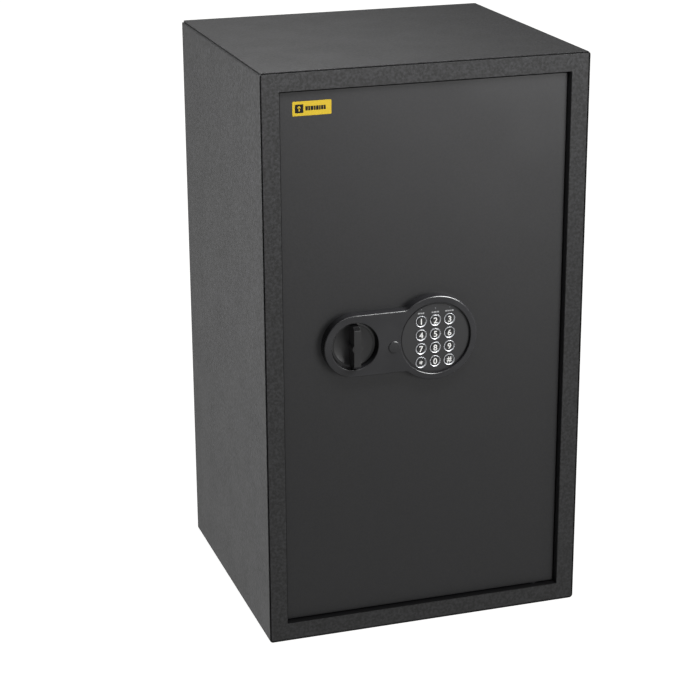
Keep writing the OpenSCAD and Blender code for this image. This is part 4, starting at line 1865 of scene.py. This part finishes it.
# ---------- behind the door plate ----------


@dataclass
class BoltWork:
    """The bolts, their carriage, the drive, the solenoid and the emergency lock."""

    nose_r: float = 1.5
    groove_at: float = 8.0
    neck_r: float = 5.0
    head_r: float = 6.5
    screw_r: float = 4.2
    spring_wire: float = 0.25
    spring_turns: float = 9.0

    def build(self) -> None:
        """Builds every piece of the bolt work."""
        self.bolts()
        self.pressings()
        self.turned_parts()
        self.spring()

    def bolts(self) -> None:
        """The two bolts, turned with a rounded nose and a shallow groove."""
        low, high = box_mm("locking_bolts")
        r = (high.y - low.y) / 2
        y = (low.y + high.y) / 2
        meshes = []
        for z in (low.z + r, high.z - r):
            nose = arc((r - self.nose_r, low.x + self.nose_r), self.nose_r, -90, 0, 3)
            collar = box_mm("bolt_carriage")[0].x
            cut, ring = low.x + self.groove_at, r - 0.4
            groove = [(r, cut), (ring, cut + 0.5), (ring, cut + 1.5), (r, cut + 2)]
            neck, head = self.neck_r, self.head_r
            profile = [(0, low.x), *nose, *groove, (r, collar), (neck, collar), (neck, high.x - 2),
                       (head, high.x - 2), (head, high.x - 0.4), (head - 0.4, high.x), (0, high.x)]
            meshes.append(turned("bolt", profile, (0, y, z), Axis.X, 48))
        piece = object_of("bolt_pair", joined("bolt_pair", meshes), Paint.NICKEL)
        place(piece, "bolt_work", "bright_steel", ["locking_bolts"])

    def pressings(self) -> None:
        """The pressed steel parts, with the small edge that a press leaves."""
        for node, body, width in (
            ("bolt_carriage", "bolt_work", 0.3),
            ("drive_cam", "knob", 0.3),
            ("solenoid_frame", "door", 0.2),
            ("release_link", "plunger", 0.2),
            ("override_cam", "override", 0.2),
            ("override_lock_nut", "door", 0.3),
        ):
            edged(f"{node}_part", node, Paint.ZINC, width, body, "zinc_steel")

    def turned_parts(self) -> None:
        """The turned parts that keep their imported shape, and the screws."""
        for node, finish in (
            ("knob_spindle", Paint.NICKEL),
            ("spindle_bush", Paint.NYLON),
            ("guide_studs", Paint.NICKEL),
            ("override_lock_body", Paint.NICKEL),
            ("override_core", Paint.BRASS),
            ("solenoid_plunger", Paint.NICKEL),
            ("solenoid_coil", Paint.COPPER),
        ):
            dress(node, finish)
        low, high = box_mm("housing_screws")
        plate_back = box_mm("door_plate")[1].y
        head = self.screw_r
        plug = middle_mm("override_lock_body")
        z_mid = middle_mm("lock_housing").z
        points = [
            Vector((low.x + head, plate_back, z_mid)),
            Vector((high.x - head, plate_back, z_mid)),
            Vector((plug.x + 1, plate_back, high.z - head)),
            Vector((plug.x + 1, plate_back, low.z + head)),
        ]
        shape = screw_shape(head, high.y - plate_back, 1.8, plate_back - low.y)
        place(repeated("housing_screw_set", shape, points, Paint.ZINC, math.pi, 5), "door",
              "zinc_steel", ["housing_screws"])

    def spring(self) -> None:
        """The coil spring above the plunger."""
        low, high = box_mm("plunger_spring")
        wire = self.spring_wire
        radius = (high.x - low.x) / 2 - wire
        values = {
            "Turns": self.spring_turns,
            "Height": (high.z - low.z - 2 * wire) * MM,
            "Radius": radius * MM,
            "Wire Radius": wire * MM,
            "Centre": Vector(((low.x + high.x) / 2, (low.y + high.y) / 2, low.z + wire)) * MM,
            "Material": Paint.NICKEL.material(),
        }
        piece = grow("return_spring", coil_tree(), values)
        place(piece, "door", "bright_steel", ["plunger_spring"])


@dataclass
class Electronics:
    """The battery bay, the boards, the wires and the reset button."""

    first_rib: float = 11.2
    rib_r: float = 0.55
    rib_length: float = 17.0

    def build(self) -> None:
        """Builds every electric piece."""
        self.battery_bay()
        self.cells()
        self.boards()
        self.reset()

    def battery_bay(self) -> None:
        """The moulded tray, and the sliding cover with its grip ribs."""
        edged("battery_box", "battery_tray", Paint.TRAY, 0.3, "door", "tray_plastic")
        edged("battery_lid", "battery_cover", Paint.TRAY, 0.3, "battery_cover", "tray_plastic")
        low, high = box_mm("battery_cover")
        values = {
            "Count": 4,
            "Pitch": Vector((0, 0, 1.9)) * MM,
            "First": Vector(((low.x + high.x) / 2, high.y - 0.75, low.z + self.first_rib)) * MM,
            "Length": self.rib_length * MM,
            "Radius": self.rib_r * MM,
            "Material": Paint.TRAY.material(),
        }
        place(grow("battery_lid_ribs", rib_tree(), values), "battery_cover", "tray_plastic")

    def cells(self) -> None:
        """Four cells, each turned the other way from its neighbour."""
        low, high = box_mm("batteries")
        r = (high.y - low.y) / 2
        y = (low.y + high.y) / 2
        meshes = []
        for number in range(4):
            z = low.z + r + number * (high.z - low.z - 2 * r) / 3
            body = (high.x - low.x) - 1.5
            shape = [(0, 0), (4.4, 0), (4.6, 0.3), (r - 0.7, 0.3), (r, 1), (r, body - 1),
                     (r - 0.7, body - 0.3), (2.9, body - 0.3), (2.7, body), (2.7, body + 1.3),
                     (2.4, body + 1.5), (0, body + 1.5)]
            if number % 2:
                profile = [(radius, high.x - along) for radius, along in shape]
            else:
                profile = [(radius, low.x + along) for radius, along in shape]
            meshes.append(turned("cell", profile, (0, y, z), Axis.X, 40))
        piece = object_of("battery_cells", joined("battery_cells", meshes), Paint.CELL)
        place(piece, "door", "cell_wrap", ["batteries"])

    def boards(self) -> None:
        """The boards, the switch mat and the wires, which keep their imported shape."""
        dress("control_board", Paint.BOARD)
        dress("keypad_board", Paint.BOARD)
        dress("keypad_membrane", Paint.SILICONE)
        dress("wiring", Paint.PVC)
        dress("bracket_screws", Paint.ZINC)

    def reset(self) -> None:
        """The switch behind the liner and its domed red button."""
        dress("reset_switch", Paint.TRAY)
        low, high = box_mm("reset_button")
        spot = middle_mm("reset_button")
        r = (high.x - low.x) / 2
        dome = arc((r - 0.8, high.y - 1.1), 0.8, 0, 75, 4)
        profile = [(0, low.y), (r, low.y), *dome, (0, high.y)]
        piece = object_of("reset_cap", turned("reset_cap", profile, (spot.x, 0, spot.z)), Paint.RED)
        place(piece, "reset_button", "button_red", ["reset_button"])


def dress(node: str, finish: Finish) -> None:
    """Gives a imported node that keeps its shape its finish.

    Args:
        node: The node.
        finish: The finish.
    """
    piece = bpy.data.objects[node]
    piece.data.materials.clear()
    piece.data.materials.append(finish.material())
    log.info("%s keeps its shape, in %s", node, finish.name)


# ---------- the studio ----------


@dataclass
class Studio:
    """The floor, the lights and the camera."""

    camera_at: tuple[float, float, float] = (-0.7935, -2.3268, 1.1432)
    heading: float = 18.0
    pitch: float = 19.007
    roll: float = -0.288
    lens_mm: float = 104.8
    floor_half: float = 30.0
    unlit: bpy.types.Collection | None = None
    sides: bpy.types.Collection | None = None
    lock: bpy.types.Collection | None = None

    def build(self) -> None:
        """Builds the studio."""
        self.floor()
        self.lights()
        self.camera()

    def floor(self) -> None:
        """A pale paper floor, and who each lamp lights."""
        made = bmesh.new()
        reach = self.floor_half
        bmesh.ops.create_grid(made, x_segments=8, y_segments=8, size=reach)
        piece = object_of("studio_floor", mesh_of("studio_floor", made), Paint.PAPER)
        self.unlit = bpy.data.collections.new("lit_by_the_room_alone")
        self.unlit.objects.link(piece)
        self.unlit.collection_objects[0].light_linking.link_state = "EXCLUDE"
        self.sides = bpy.data.collections.new("lit_from_the_left")
        self.sides.objects.link(bpy.data.objects["cabinet_shell"])
        self.lock = bpy.data.collections.new("lit_along_the_edges")
        for name in ("lock_cover", "keyhole_cap", "key_ring_set"):
            self.lock.objects.link(bpy.data.objects[name])

    def lights(self) -> None:
        """A white room and five soft boxes."""
        world = bpy.data.worlds.new("studio_air")
        bpy.context.scene.world = world
        world.use_nodes = True
        tree = world.node_tree
        tree.nodes.clear()
        # The wall behind is white to the eye, but sends little light to the safe.
        seen = add_node(tree, "ShaderNodeLightPath").outputs["Is Camera Ray"]
        strength = Finish.spread(tree, seen, 0.12, 1.05, 0.0, 1.0)
        sky = add_node(
            tree,
            "ShaderNodeBackground",
            inputs={"Color": linear("#ffffff"), "Strength": strength},
        )
        add_node(tree, "ShaderNodeOutputWorld", inputs={"Surface": sky.outputs["Background"]})
        for name, at, aim, size, power, spread in (
            ("overhead", (0.0, 0.95, 1.7), (0.0, 0.0, 0.7), (0.9, 0.9), 13.0, 180.0),
            ("key", (0.05, -0.62, 1.17), (0.0, -0.12, 0.8), (1.3, 0.3), 6.0, 85.0),
            ("left", (-1.35, -0.75, 0.75), (-0.2, 0.0, 0.35), (0.9, 0.9), 60.0, 180.0),
            ("front_right", (1.25, -2.35, 0.62), (0.0, -0.2, 0.5), (1.1, 1.1), 42.0, 180.0),
            ("rim", (0.6, -0.5, 1.05), (0.0, -0.185, 0.37), (1.1, 0.5), 150.0, 180.0),
        ):
            self.soft_box(name, Vector(at), Vector(aim), size, power, spread)
        bpy.context.scene.view_settings.view_transform = "Standard"

    def soft_box(
        self, name: str, at: Vector, aim: Vector, size: Sequence[float], power: float, spread: float
    ) -> None:
        """A soft box.

        Args:
            name: The light's name.
            at: Its place, in metres.
            aim: The point that it faces, in metres.
            size: Its width and depth, in metres.
            power: Its power, in watts.
            spread: The angle of its beam, in degrees.
        """
        light = bpy.data.lights.new(name, "AREA")
        light.shape = "RECTANGLE"
        light.size, light.size_y = size
        light.energy = power
        light.spread = math.radians(spread)
        lamp = bpy.data.objects.new(name, light)
        bpy.context.scene.collection.objects.link(lamp)
        lamp.location = at
        lamp.rotation_mode = "QUATERNION"
        lamp.rotation_quaternion = (aim - at).to_track_quat("-Z", "Y")
        linked = {"left": self.sides, "rim": self.lock}.get(name, self.unlit)
        lamp.light_linking.receiver_collection = linked

    def camera(self) -> None:
        """The camera, a little above the safe and to its left."""
        data = bpy.data.cameras.new("camera")
        data.lens = self.lens_mm
        data.sensor_width = 36.0
        data.clip_start, data.clip_end = 0.05, 100.0
        camera = bpy.data.objects.new("camera", data)
        bpy.context.scene.collection.objects.link(camera)
        turn = (
            Matrix.Rotation(math.radians(-self.heading), 4, "Z")
            @ Matrix.Rotation(math.radians(90 - self.pitch), 4, "X")
            @ Matrix.Rotation(math.radians(self.roll), 4, "Z")
        )
        camera.matrix_world = Matrix.Translation(Vector(self.camera_at)) @ turn
        bpy.context.scene.camera = camera


def main() -> None:
    """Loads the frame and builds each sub-assembly round it."""
    logging.basicConfig(level=logging.INFO, format="%(name)s: %(message)s")
    for piece in list(bpy.data.objects):
        bpy.data.objects.remove(piece)
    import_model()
    for assembly in (Cabinet(), Door(), LockFront(), Keypad(), BoltWork(), Electronics(), Studio()):
        log.info("building %s", type(assembly).__name__)
        assembly.build()


if __name__ == "__main__":
    main()
